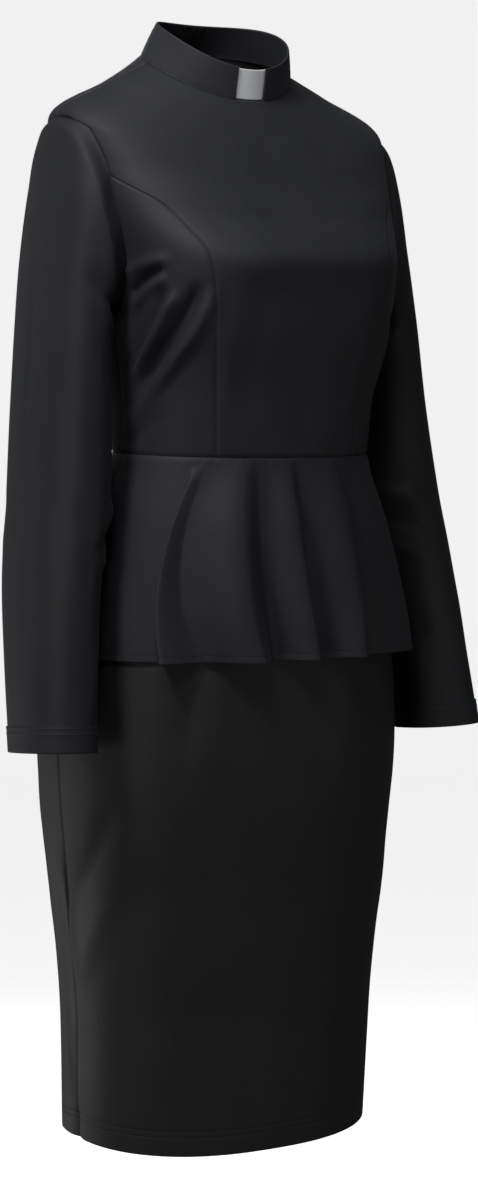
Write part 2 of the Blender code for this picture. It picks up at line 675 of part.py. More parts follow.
def tape_rows(point, table, level, side, behind):
    """Rows of zip tape behind a surface: its edge at the seam, then its far edge."""
    ring = columns(RING_COLUMNS, table)
    reach = spline(ring["level"], ring["back_y"] - ring["side_y"], level)
    rows = []
    for across in (SEAM_GAP / 2, SEAM_GAP / 2 + TAPE_WIDTH):
        angle = side * (180.0 - np.degrees(np.arcsin(across / reach)))
        rows.append(point(level, angle) - outward(angle) * np.reshape(behind, (-1, 1)))
    return np.stack(rows, axis=1)


def add_zip_tape(collection, name, side, material):
    """Strip of zip tape inside the centre-back seam, from the collar's top edge to the hip."""
    behind = COLLAR_WALL / 2 + 2 * SEAM_GAP + TAPE_WALL / 2
    bodice_level = centre_back_levels()[:-1]
    skirt_level = skirt_levels()[:TAPE_SKIRT_ROWS]
    collar_level = np.linspace(TAPE_TOP, TAPE_LOW_ON_COLLAR, COLLAR_ROWS + 1)
    passing = (PEPLUM_STANDOFF + SEAM_GAP) * smooth_step((bodice_level - TAPE_SINK_FROM) / TAPE_SINK_RUN)
    grid = np.concatenate([
        tape_rows(collar_point, COLLAR_RINGS, collar_level, side, behind),
        tape_rows(bodice_point, BODICE_RINGS, bodice_level, side, behind + passing),
        tape_rows(skirt_point, SKIRT_RINGS, skirt_level, side, behind + SEAM_GAP)])
    add_cloth(collection, name, grid if side == RIGHT else grid[:, ::-1], material, wall=TAPE_WALL)


def add_zip_fittings(collection, cutters, material):
    """Slider on the closed zip and its pull tab, which swings about the bar under the bridge."""
    top = collar_point(np.array(1.0), np.array(180.0))
    low = collar_point(np.array(0.0), np.array(180.0))
    down = unit(low - top)
    out = np.array([0.0, -down[2], down[1]])
    tilt = math.asin(down[1])
    seat = top + down * SLIDER_DROP + out * (COLLAR_WALL / 2 + SEAM_GAP)
    width, thick, length = SLIDER_SIZE
    slider = add_box(collection, "zip_slider", SLIDER_SIZE, (0, thick / 2, 0), material)
    bridge_height = BRIDGE_TUNNEL + BRIDGE_POST
    bridge_length = BRIDGE_TUNNEL + 2 * BRIDGE_POST
    bridge = add_box(cutters, "zip_bridge", (BRIDGE_WIDTH, bridge_height + 1.0, bridge_length),
                     (0, thick + bridge_height / 2 - 0.5, 0))
    tunnel = add_box(cutters, "zip_tunnel", (width, BRIDGE_TUNNEL, BRIDGE_TUNNEL),
                     (0, thick + BRIDGE_TUNNEL / 2, 0))
    pivot = seat + out * (thick + BRIDGE_TUNNEL / 2)
    bar = PULL_SIZE[1]
    pull = add_box(collection, "zip_pull", PULL_SIZE, (0, 0, bar / 2 - PULL_SIZE[2] / 2), material)
    window = add_box(cutters, "zip_window", (PULL_WINDOW[0], 3 * bar, PULL_WINDOW[1]),
                     (0, 0, -bar / 2 - PULL_WINDOW[1] / 2))
    for item, place in ((slider, seat), (bridge, seat), (tunnel, seat), (pull, pivot), (window, pivot)):
        item.location = place * MM
        item.rotation_euler = (tilt, 0.0, 0.0)
    join_shape(slider, bridge, "UNION")
    join_shape(slider, tunnel, "DIFFERENCE")
    join_shape(pull, window, "DIFFERENCE")


def main():
    """Build the dress."""
    for item in list(bpy.data.objects):
        bpy.data.objects.remove(item)
    part = bpy.data.collections.new(PART_NAME)
    cutters = bpy.data.collections.new("cutters")
    for group in (part, cutters):
        bpy.context.scene.collection.children.link(group)

    bodice = make_material("bodice_cloth", "26272A", 0.62)
    sleeve = make_material("sleeve_cloth", "232427", 0.62)
    peplum = make_material("peplum_cloth", "242528", 0.62)
    skirt = make_material("skirt_cloth", "1C1D1F", 0.66)
    collar = make_material("collar_cloth", "202124", 0.66)
    white = make_material("white_tab", "E9E9EA", 0.45)
    tape = make_material("zip_tape", "141416", 0.80)
    metal = make_material("dark_zip_metal", "2C2C2E", 0.35, 0.9)

    add_bodice_front(part, bodice)
    add_bodice_side(part, "bodice_side_right", RIGHT, bodice)
    add_bodice_side(part, "bodice_side_left", LEFT, bodice)
    add_bodice_back(part, "bodice_back_right", RIGHT, bodice)
    add_bodice_back(part, "bodice_back_left", LEFT, bodice)
    add_sleeve(part, "sleeve_right", RIGHT, sleeve)
    add_sleeve(part, "sleeve_left", LEFT, sleeve)
    add_collar(part, "collar_right", RIGHT, collar)
    add_collar(part, "collar_left", LEFT, collar)
    add_tab(part, white)
    add_peplum_panel(part, "peplum_front", FRONT_FLARES, -90.0, 90.0, peplum)
    add_peplum_panel(part, "peplum_back_left", BACK_LEFT_FLARES, 90.0, 180.0, peplum, open_column=-1)
    add_peplum_panel(part, "peplum_back_right", BACK_RIGHT_FLARES, -180.0, -90.0, peplum, open_column=0)
    add_skirt_panel(part, "skirt_front", -90.0, 90.0, SKIRT_FRONT_COLUMNS, skirt)
    add_skirt_panel(part, "skirt_back_left", 90.0, 180.0, SKIRT_BACK_COLUMNS, skirt, slit_column=-1)
    add_skirt_panel(part, "skirt_back_right", -180.0, -90.0, SKIRT_BACK_COLUMNS, skirt, slit_column=0)
    add_zip_tape(part, "zip_tape_right", RIGHT, tape)
    add_zip_tape(part, "zip_tape_left", LEFT, tape)
    add_zip_fittings(part, cutters, metal)


main()
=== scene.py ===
"""Clergy dress in black ponte knit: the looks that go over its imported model.

Frame: metres, +Z up, the wearer faces -Y and the wearer's right is at -X, origin in the middle of the neck.
Tables are in millimetres and degrees. An angle is measured round the body from the centre front, positive
towards the wearer's left. A level runs from 0 at the top ring of a stack to 1 at its lowest ring.
Each panel of cloth is a grid worked out from rings, seams and creases, and Solidify gives it its thickness.
"""
from __future__ import annotations

import json
import logging
import math
from dataclasses import dataclass, field, fields
from enum import Enum
from typing import Any, Iterable, Mapping, Optional, Sequence

import bpy
import numpy as np
from mathutils import Euler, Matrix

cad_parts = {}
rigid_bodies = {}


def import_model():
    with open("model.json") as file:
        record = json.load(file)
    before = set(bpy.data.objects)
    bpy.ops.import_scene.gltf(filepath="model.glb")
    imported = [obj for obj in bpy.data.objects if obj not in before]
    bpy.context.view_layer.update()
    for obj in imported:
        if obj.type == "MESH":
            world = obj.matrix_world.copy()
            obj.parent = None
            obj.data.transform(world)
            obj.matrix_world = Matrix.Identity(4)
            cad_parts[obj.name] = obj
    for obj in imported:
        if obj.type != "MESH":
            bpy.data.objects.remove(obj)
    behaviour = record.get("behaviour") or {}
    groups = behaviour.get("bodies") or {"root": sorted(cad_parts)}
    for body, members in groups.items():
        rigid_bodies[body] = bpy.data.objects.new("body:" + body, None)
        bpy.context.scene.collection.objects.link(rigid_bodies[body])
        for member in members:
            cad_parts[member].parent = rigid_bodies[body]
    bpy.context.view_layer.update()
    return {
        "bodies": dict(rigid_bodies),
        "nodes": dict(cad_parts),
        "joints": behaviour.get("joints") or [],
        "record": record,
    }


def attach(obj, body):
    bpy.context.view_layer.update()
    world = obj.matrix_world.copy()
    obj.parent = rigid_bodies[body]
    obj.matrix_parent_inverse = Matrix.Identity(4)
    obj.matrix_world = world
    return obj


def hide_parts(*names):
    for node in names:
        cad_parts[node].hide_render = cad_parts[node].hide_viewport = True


Array = np.ndarray
Socket = bpy.types.NodeSocket
LOG = logging.getLogger("clergy_dress")

MM = 0.001
CLOTH = 1.0
ROLL_DEPTH = 1.0
ROLL_REACH = 2.2
PUCKER_PEAK = 3.5
FINE_GROOVE = 0.25
FINE_STEPS = np.array([-3.4, -2.1, -1.2, -0.55, 0.0, 0.55, 1.2, 2.1, 3.4])
LEAST_STEP = 0.2
GARMENT = "garment"


class Side(Enum):
    """Side of the wearer's body."""

    LEFT = 1
    RIGHT = -1

    @property
    def word(self) -> str:
        """Name used in piece names."""
        return self.name.lower()


class Edge(Enum):
    """Edge of a grid of cloth."""

    TOP = "top"
    BOTTOM = "bottom"
    FIRST = "first"
    LAST = "last"


# Small helpers


def linear(colour: str) -> tuple[float, float, float, float]:
    """Turn an sRGB colour written as RRGGBB into linear RGBA.

    Args:
        colour: Six hex digits.

    Returns:
        Linear red, green, blue and an alpha of 1.
    """
    channels = [int(colour[i:i + 2], 16) / 255 for i in (0, 2, 4)]
    r, g, b = (c / 12.92 if c <= 0.04045 else ((c + 0.055) / 1.055) ** 2.4 for c in channels)
    return r, g, b, 1.0


def spline(knots: Array, values: Array, at: Array) -> Array:
    """Smooth curve through knots that never swings past a value.

    Cubic Hermite pieces, whose slope at a knot is the weighted harmonic mean of its neighbours' slopes,
    and 0 where they turn round.

    Args:
        knots: Rising places of the values.
        values: One value, or one row of values, for each knot.
        at: Places to read.

    Returns:
        The curve at each place.
    """
    at = np.asarray(at, float)
    values = np.asarray(values, float)
    tail = (1,) * (values.ndim - 1)
    step = np.diff(knots).reshape(-1, *tail)
    slope = np.diff(values, axis=0) / step
    before, after = slope[:-1], slope[1:]
    near, far = step[:-1] + 2 * step[1:], 2 * step[:-1] + step[1:]
    same_way = before * after > 0
    safe_before, safe_after = np.where(same_way, before, 1.0), np.where(same_way, after, 1.0)
    middle = np.where(same_way, (near + far) / (far / safe_before + near / safe_after), 0.0)
    tangent = np.concatenate([slope[:1], middle, slope[-1:]])
    cell = np.clip(np.searchsorted(knots, at, side="right") - 1, 0, len(knots) - 2)
    run = step[cell]
    t = ((at - np.asarray(knots)[cell]).reshape(*at.shape, *tail)) / run
    return ((2 * t ** 3 - 3 * t ** 2 + 1) * values[cell] + (t ** 3 - 2 * t ** 2 + t) * run * tangent[cell]
            + (3 * t ** 2 - 2 * t ** 3) * values[cell + 1] + (t ** 3 - t ** 2) * run * tangent[cell + 1])


def smooth_step(t: Array) -> Array:
    """Ease from 0 to 1: three t squared less two t cubed."""
    t = np.clip(t, 0.0, 1.0)
    return t * t * (3.0 - 2.0 * t)


def unit(vectors: Array) -> Array:
    """Vectors scaled to length 1."""
    return vectors / np.maximum(np.linalg.norm(vectors, axis=-1, keepdims=True), 1e-12)


def outward(angle: Array) -> Array:
    """Horizontal direction away from the body's axis: sine of the angle along X, less its cosine along Y."""
    a = np.radians(angle)
    return np.stack([np.sin(a), -np.cos(a), np.zeros_like(a)], axis=-1)


def stations(length: float, step: float, marks: Iterable[float] = ()) -> Array:
    """Places along a length: even steps, with closer ones beside the marks.

    Args:
        length: Whole length.
        step: Largest step.
        marks: Places that need fine steps; the two ends always get them.

    Returns:
        Rising places from 0 to the length.
    """
    coarse = np.linspace(0.0, length, max(2, int(round(length / step)) + 1))
    fine = np.concatenate([m + FINE_STEPS for m in (0.0, length, *marks)])
    fine = fine[(fine >= 0.0) & (fine <= length)]
    far = np.abs(coarse[:, None] - fine[None, :]).min(axis=1) > 0.45 * step
    places = np.unique(np.round(np.concatenate([[0.0, length], coarse[far], fine]), 3))
    places = places[np.concatenate([[True], np.diff(places) > LEAST_STEP])]
    places[-1] = length
    return places


def shares(length: float, step: float, marks: Iterable[float] = ()) -> Array:
    """Stations along a length, as shares of it."""
    return stations(length, step, marks) / length


def run_along(points: Array) -> Array:
    """Distance of each point from the first one, along the first axis of an array of points."""
    steps = np.linalg.norm(np.diff(points, axis=0), axis=-1)
    return np.concatenate([np.zeros((1, *steps.shape[1:])), np.cumsum(steps, axis=0)])


def follow(place: Array, run: Array, values: Array) -> Array:
    """Rows of three values, read at places along a line whose rows lie at the distances in run."""
    return np.stack([np.interp(place, run, values[:, k]) for k in range(3)], axis=-1)


def wander(along: Array, phase: float) -> Array:
    """Uneven wave from -1 to 1: three sines of 11, 17 and 31 mm that drift past each other."""
    waves = ((0.45, 11.0, 1.0), (0.33, 17.0, 2.1), (0.22, 31.0, 3.7))
    return sum(size * np.sin(along / length * 2 * np.pi + drift * phase) for size, length, drift in waves)


def welt(away: Array, peak: float) -> Array:
    """Swell beside a seam: distance / peak, times e to the 1 less that. It is greatest, 1, at the peak."""
    return away / peak * np.exp(1 - away / peak)


def upright(angle: float, level: Array) -> Array:
    """Rows of (angle, level) places that share one angle."""
    return np.stack([np.full_like(level, angle), level], axis=-1)


# Forms


@dataclass(frozen=True)
class Ring:
    """One superellipse ring round the body."""

    level: float
    half_width: float
    front_y: float
    side_y: float
    back_y: float
    front_z: float
    side_z: float
    back_z: float
    front_square: float
    back_square: float


@dataclass(frozen=True)
class Crease:
    """Soft ridge, or trough where its height is below 0, along a smooth line of (angle, z) places."""

    line: tuple[tuple[float, float], ...]
    width: float
    height: float
    start_fade: float = 0.35
    end_fade: float = 0.35

    def height_at(self, angle: Array, z: Array, arc: float) -> Array:
        """Height of the crease at places on a surface.

        The height is a bell curve of the distance from the line, times a fade towards each end.

        Args:
            angle: Angles of the places.
            z: Heights of the places in millimetres.
            arc: Millimetres round the surface for each degree.

        Returns:
            Height of the cloth over its form, in millimetres.
        """
        line = np.array(self.line, float)
        share, slack = np.linspace(0.0, 1.0, 15), 0.02
        path = spline(np.linspace(0.0, 1.0, len(line)), line * [arc, 1.0], share)
        place = np.stack(np.broadcast_arrays(angle * arc, z), axis=-1)
        reach = 3.2 * self.width  # the bell curve has died away there
        low, high = path.min(axis=0) - reach, path.max(axis=0) + reach
        near = np.all((place > low) & (place < high), axis=-1)
        total = np.zeros(place.shape[:-1])
        spot = place[near]
        if not len(spot):
            return total
        start, run = path[:-1], np.diff(path, axis=0)
        offset = spot[:, None, :] - start[None]
        t = np.clip(np.sum(offset * run, axis=-1) / np.sum(run * run, axis=-1), 0.0, 1.0)
        away = np.linalg.norm(offset - t[..., None] * run, axis=-1)
        best = away.argmin(axis=1)
        pick = np.arange(len(spot))
        along = (best + t[pick, best]) / len(run)
        fade = (smooth_step((along + slack) / self.start_fade)
                * smooth_step((1 + slack - along) / self.end_fade))
        total[near] = self.height * fade * np.exp(-(away[pick, best] / self.width) ** 2)
        return total


@dataclass
class Patch:
    """Grid of cloth: its rows run down and its columns run towards the wearer's left."""

    points: Array
    normals: Array

    def down(self) -> Array:
        """Distance of each place from the first row, along its column."""
        return run_along(self.points)

    def across(self) -> Array:
        """Distance of each place from the first column, along its row."""
        return run_along(self.points.swapaxes(0, 1)).T

    def distance(self, edge: Edge) -> Array:
        """Distance of each place from one edge."""
        down, across = self.down(), self.across()
        return {Edge.TOP: down, Edge.BOTTOM: down[-1] - down,
                Edge.FIRST: across, Edge.LAST: across[:, -1:] - across}[edge]

    def lifted(self, height: Array) -> Patch:
        """The same cloth moved out along its normals by a height."""
        return Patch(self.points + self.normals * height[..., None], self.normals)

    def rolled(self, edges: Iterable[Edge], depth: float = ROLL_DEPTH, reach: float = ROLL_REACH,
               pucker: float = 0.16) -> Patch:
        """Turn seam edges in, as a pressed seam does, and pucker the cloth beside them.

        The dip falls off as e to the minus (distance / reach) squared. The pucker is an uneven wave along the
        seam, times the swell of a welt beside it.

        Args:
            edges: Edges that are sewn.
            depth: Depth of the dip at the seam.
            reach: Distance over which the dip fades.
            pucker: Height of the pucker.

        Returns:
            The cloth with its seams turned in.
        """
        down, across = self.down(), self.across()
        height = np.zeros(self.points.shape[:2])
        for count, edge in enumerate(edges):
            away = self.distance(edge)
            along = down if edge in (Edge.FIRST, Edge.LAST) else across
            height -= depth * np.exp(-(away / reach) ** 2)
            height += pucker * wander(along, 1.3 + count) * welt(away, PUCKER_PEAK)
        return self.lifted(height)

    def grooved(self, edge: Edge, places: Sequence[float], depth: float = 0.32, width: float = 0.9) -> Patch:
        """Draw the cloth in under rows of stitches that lie at set distances from an edge."""
        away = self.distance(edge)
        height = -depth * sum(np.exp(-((away - place) / width) ** 2) for place in places)
        return self.lifted(height)

    def hemmed(self, depth: float, gap: float = 1.15) -> Patch:
        """Add the hem: round the lower edge in a half circle and run up inside by its depth."""
        away = self.distance(Edge.BOTTOM).mean(axis=1)
        upper = np.nonzero(away <= depth)[0][::-1]
        half = gap / 2
        last, normal = self.points[-1], self.normals[-1]
        down = unit(self.points[-1] - self.points[-2])
        turn = np.radians([30.0, 60.0, 90.0, 120.0, 150.0])[:, None, None]
        bend = last - normal * half + normal * half * np.cos(turn) + down * half * np.sin(turn)
        bend_normal = normal * np.cos(turn) + down * np.sin(turn)
        inner = self.points[upper] - self.normals[upper] * gap
        points = np.concatenate([self.points, bend, inner])
        normals = np.concatenate([self.normals, unit(bend_normal), -self.normals[upper]])
        return Patch(points, normals)

    def drawn_aside(self, edge: Edge, amount: Array, reach: float) -> Patch:
        """Draw an upright edge in towards the middle, by an amount for each row that fades over a reach."""
        column, inner = (0, 6) if edge is Edge.FIRST else (-1, -7)
        aside = unit(self.points[:, inner] - self.points[:, column])[:, None]
        away = np.exp(-self.distance(edge) / reach)
        return Patch(self.points + aside * (amount[:, None] * away)[..., None], self.normals)

    def line_from(self, edge: Edge, distance: float) -> tuple[Array, Array]:
        """Points and normals of the line at a distance from the top or bottom edge."""
        away = self.distance(edge).mean(axis=1)
        order = np.argsort(away)
        place = np.interp(distance, away[order], order.astype(float))
        low = int(np.clip(math.floor(place), 0, len(away) - 2))
        t = place - low
        points = self.points[low] * (1 - t) + self.points[low + 1] * t
        return points, unit(self.normals[low] * (1 - t) + self.normals[low + 1] * t)


@dataclass(frozen=True)
class Form:
    """Stack of rings with creases: the surface that a group of panels lies on."""

    rings: tuple[Ring, ...]
    creases: tuple[Crease, ...] = ()
    arc: float = 2.6

    def column(self, name: str) -> Array:
        """One named value of every ring."""
        return np.array([getattr(ring, name) for ring in self.rings])

    def base(self, level: Array, angle: Array) -> Array:
        """Place on the smooth form.

        A ring is a superellipse, whose reach r at an angle solves (x / half width) to the power n plus
        (y / depth) to the power n = 1. Its height is a parabola through its front, side and back heights.

        Args:
            level: Levels.
            angle: Angles.

        Returns:
            Points in millimetres.
        """
        level, angle = np.broadcast_arrays(np.asarray(level, float), np.asarray(angle, float))
        knots = self.column("level")
        row = {f.name: spline(knots, self.column(f.name), level) for f in fields(Ring)[1:]}
        across = np.abs(np.sin(np.radians(angle)))
        along = np.cos(np.radians(angle))
        ahead = along >= 0
        depth = np.where(ahead, row["side_y"] - row["front_y"], row["back_y"] - row["side_y"])
        square = np.where(ahead, row["front_square"], row["back_square"])
        reach = ((across / row["half_width"]) ** square + (np.abs(along) / depth) ** square) ** (-1 / square)
        share = -reach * along / depth
        z = (row["side_z"] + share * (row["back_z"] - row["front_z"]) / 2
             + share ** 2 * ((row["back_z"] + row["front_z"]) / 2 - row["side_z"]))
        return np.stack([reach * np.sin(np.radians(angle)), row["side_y"] - reach * along, z], axis=-1)

    def normal(self, level: Array, angle: Array) -> Array:
        """Outward unit normal: the cross product of the steps along the levels and round the ring."""
        small_level, small_angle = 0.003, 0.3
        along = self.base(level + small_level, angle) - self.base(level - small_level, angle)
        around = self.base(level, angle + small_angle) - self.base(level, angle - small_angle)
        normal = unit(np.cross(along, around))
        facing = np.sum(normal * outward(angle), axis=-1, keepdims=True)
        return np.where(facing < 0, -normal, normal)

    def patch(self, level: Array, angle: Array) -> Patch:
        """Cloth on the form with its creases."""
        level, angle = np.broadcast_arrays(np.asarray(level, float), np.asarray(angle, float))
        base, normal = self.base(level, angle), self.normal(level, angle)
        height = np.zeros(level.shape)
        for crease in self.creases:
            height += crease.height_at(angle, base[..., 2], self.arc)
        return Patch(base + normal * height[..., None], normal)


@dataclass(frozen=True)
class Seam:
    """Seam on the wearer's left side: rows of share along it, angle and level."""

    rows: tuple[tuple[float, float, float], ...]

    def at(self, share: Array) -> Array:
        """Rows of angle and level at shares along the seam."""
        table = np.array(self.rows)
        return spline(table[:, 0], table[:, 1:], np.asarray(share, float))


# Meshes


def quads(rows: int, columns: int, wrap: bool = False) -> Array:
    """Corner numbers of a grid's faces, ordered so that they point out."""
    last = columns if wrap else columns - 1
    r, c = np.meshgrid(np.arange(rows - 1), np.arange(last), indexing="ij")
    right = (c + 1) % columns
    return np.stack([r * columns + c, (r + 1) * columns + c, (r + 1) * columns + right, r * columns + right],
                    axis=-1).reshape(-1, 4)


def tubes(centres: Array, up: Array, across: Array, radius: Array) -> tuple[Array, Array]:
    """Short tubes with four sides and closed ends, whose faces point out.

    Args:
        centres: Centres of the rings, by tube and ring.
        up: Unit vectors across each tube, by tube and ring.
        across: Unit vectors at right angles to both, so that across times up runs along the tube.
        radius: Radius of each ring.

    Returns:
        Points and quads of all the tubes.
    """
    turn = np.radians([45.0, 135.0, 225.0, 315.0])[:, None]
    ring = up[:, :, None] * np.sin(turn) + across[:, :, None] * np.cos(turn)
    points = centres[:, :, None] + radius[:, None, None] * ring
    count, rings, sides = points.shape[:3]
    ends = np.array([[3, 2, 1, 0], [0, 1, 2, 3]]) + np.array([[0], [(rings - 1) * sides]])
    one = np.concatenate([quads(rings, sides, wrap=True)[:, ::-1], ends])
    faces = (np.arange(count)[:, None, None] * rings * sides + one).reshape(-1, 4)
    return points.reshape(-1, 3), faces


def build_mesh(name: str, points: Array, faces: Array, uv: Optional[Array] = None) -> bpy.types.Mesh:
    """Mesh from arrays of points in millimetres and of faces, shaded smooth.

    Args:
        name: Name of the mesh.
        points: Points, one row each.
        faces: Corner numbers, one row for each face.
        uv: Pattern place of each point in metres.

    Returns:
        The new mesh.
    """
    mesh = bpy.data.meshes.new(name)
    corners = faces.shape[1]
    mesh.vertices.add(len(points))
    mesh.vertices.foreach_set("co", (points.reshape(-1) * MM).astype(np.float32))
    mesh.loops.add(faces.size)
    mesh.loops.foreach_set("vertex_index", faces.reshape(-1).astype(np.int32))
    mesh.polygons.add(len(faces))
    mesh.polygons.foreach_set("loop_start", np.arange(0, faces.size, corners, dtype=np.int32))
    mesh.update(calc_edges=True)
    mesh.polygons.foreach_set("use_smooth", np.ones(len(faces), dtype=bool))
    if uv is not None:
        layer = mesh.uv_layers.new(name="cut")
        layer.data.foreach_set("uv", uv[faces.reshape(-1)].astype(np.float32).reshape(-1))
    mesh.validate()
    mesh.update()
    return mesh


def place_object(name: str, mesh: bpy.types.Mesh, material: bpy.types.Material,
                 replaces: Sequence[str] = (), body: str = GARMENT) -> bpy.types.Object:
    """Object at the origin that holds a mesh, rides on a body and has a finish. It is named in the log.

    Args:
        name: Name of the piece.
        mesh: Its mesh, already in place.
        material: Its finish.
        replaces: CAD nodes that it stands for.
        body: CAD body that carries it.

    Returns:
        The new object.
    """
    mesh.materials.append(material)
    piece = bpy.data.objects.new(name, mesh)
    bpy.context.scene.collection.objects.link(piece)
    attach(piece, body)
    if replaces:
        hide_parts(*replaces)
    LOG.info("%s: %d faces", name, len(mesh.polygons))
    return piece


def thicken(piece: bpy.types.Object, thickness: float) -> None:
    """Give a sheet its thickness in millimetres, half to each side."""
    wall = piece.modifiers.new("cloth thickness", "SOLIDIFY")
    wall.thickness = thickness * MM
    wall.offset = 0.0
    wall.use_even_offset = False
    wall.use_quality_normals = True


def cut_places(patch: Patch) -> Array:
    """Pattern places in metres: across from the middle column, and down from the top row."""
    across, down = patch.across(), patch.down()
    middle = across[:, across.shape[1] // 2][:, None]
    return np.stack([(across - middle) * MM, -down * MM], axis=-1).reshape(-1, 2)


@dataclass(frozen=True)
class Cut:
    """Flat cut of a piece of cloth: the rectangle it is cut from, and its area, in metres."""

    width: float
    length: float
    area: float


def lay_cloth(name: str, patch: Patch, material: bpy.types.Material,
              wrap: bool = False, thickness: float = CLOTH) -> bpy.types.Object:
    """Piece of cloth from a grid, which replaces the CAD node of its name.

    Args:
        name: Name of the CAD node; the piece's own name adds _cloth.
        patch: Grid of the cloth.
        material: Its finish.
        wrap: Whether the last column joins the first.
        thickness: Thickness of the cloth in millimetres.

    Returns:
        The piece.
    """
    rows, columns = patch.points.shape[:2]
    faces = quads(rows, columns, wrap)
    mesh = build_mesh(name + "_cloth", patch.points.reshape(-1, 3), faces, cut_places(patch))
    piece = place_object(name + "_cloth", mesh, material, [name])
    thicken(piece, thickness)
    return piece


def pillow(patch: Patch, half: float, rounding: float) -> tuple[Array, Array, Array]:
    """Closed shell about a grid, with rounded edges.

    Each side lies half a thickness from the grid, times the square root of 1 less (1 less distance from the
    edge / rounding) squared, so that the two sides meet along the edges.

    Args:
        patch: Grid in the middle of the shell.
        half: Half its thickness.
        rounding: Distance over which it thins to its edge.

    Returns:
        Points, faces and pattern places.
    """
    rows, columns = patch.points.shape[:2]
    away = np.minimum.reduce([patch.distance(edge) for edge in Edge])
    rise = half * np.sqrt(1 - (1 - np.clip(away / rounding, 0.0, 1.0)) ** 2)
    outer, inner = patch.lifted(rise).points.reshape(-1, 3), patch.lifted(-rise).points.reshape(-1, 3)
    rim = np.zeros((rows, columns), bool)
    rim[[0, -1]] = True
    rim[:, [0, -1]] = True
    number = np.arange(rows * columns)
    inner_number = np.where(rim.reshape(-1), number, rows * columns + np.cumsum(~rim.reshape(-1)) - 1)
    faces = quads(rows, columns)
    uv = cut_places(patch)
    free = ~rim.reshape(-1)
    return (np.concatenate([outer, inner[free]]), np.concatenate([faces, inner_number[faces][:, ::-1]]),
            np.concatenate([uv, uv[free]]))


# Finishes


class NodeMaterial:
    """Node material in the making: each method adds a node, and most give its first output."""

    def __init__(self, name: str) -> None:
        """Start an empty material of this name."""
        self.material = bpy.data.materials.new(name)
        self.material.use_nodes = True
        self.tree = self.material.node_tree
        self.tree.nodes.clear()

    def add(self, kind: str, inputs: Optional[Mapping[Any, Any]] = None, **settings: Any) -> bpy.types.Node:
        """Add a node.

        Args:
            kind: Blender's type name without its first part, ShaderNode.
            inputs: What goes into each input, by its name or number: a socket to link, or a value.
            settings: The node's own properties.

        Returns:
            The new node.
        """
        node = self.tree.nodes.new("ShaderNode" + kind)
        for key, value in settings.items():
            setattr(node, key, value)
        for key, value in (inputs or {}).items():
            if isinstance(value, bpy.types.NodeSocket):
                self.tree.links.new(value, node.inputs[key])
            else:
                node.inputs[key].default_value = value
        return node

    def on_cut(self) -> Socket:
        """Place on the flat cut of the piece, in metres."""
        return self.add("UVMap", uv_map="cut").outputs["UV"]

    def on_object(self) -> Socket:
        """Place in the piece's own space, in metres."""
        return self.add("TexCoord").outputs["Object"]

    def math(self, operation: str, *values: Any) -> Socket:
        """Sum, product or wave of values."""
        return self.add("Math", dict(enumerate(values)), operation=operation).outputs[0]

    def noise(self, place: Socket, scale: float, detail: float = 2.0, rough: float = 0.5) -> bpy.types.Node:
        """Noise with the outputs Fac and Color; a scale of 1000 has features of about 1 mm."""
        return self.add("TexNoise", {"Vector": place, "Scale": scale, "Detail": detail, "Roughness": rough})

    def ranged(self, value: Socket, low: float, high: float, to_low: float, to_high: float) -> Socket:
        """Value stretched from one range to another, and kept within it."""
        return self.add("MapRange", {"Value": value, "From Min": low, "From Max": high,
                                     "To Min": to_low, "To Max": to_high}).outputs[0]

    def blend(self, share: Any, first: Any, second: Any, kind: str = "MIX") -> Socket:
        """Two colours mixed by a share."""
        return self.add("MixRGB", {0: share, 1: first, 2: second}, blend_type=kind).outputs[0]

    def bump(self, height: Socket, strength: float, distance: float) -> Socket:
        """Normal that is tilted by a height; the distance is in metres."""
        return self.add("Bump", {"Height": height, "Strength": strength, "Distance": distance}).outputs[0]

    def closed(self, inputs: Mapping[str, Any]) -> bpy.types.Material:
        """The material, with these inputs to its Principled shader."""
        shader = self.add("BsdfPrincipled", inputs)
        self.add("OutputMaterial", {"Surface": shader.outputs[0]})
        return self.material


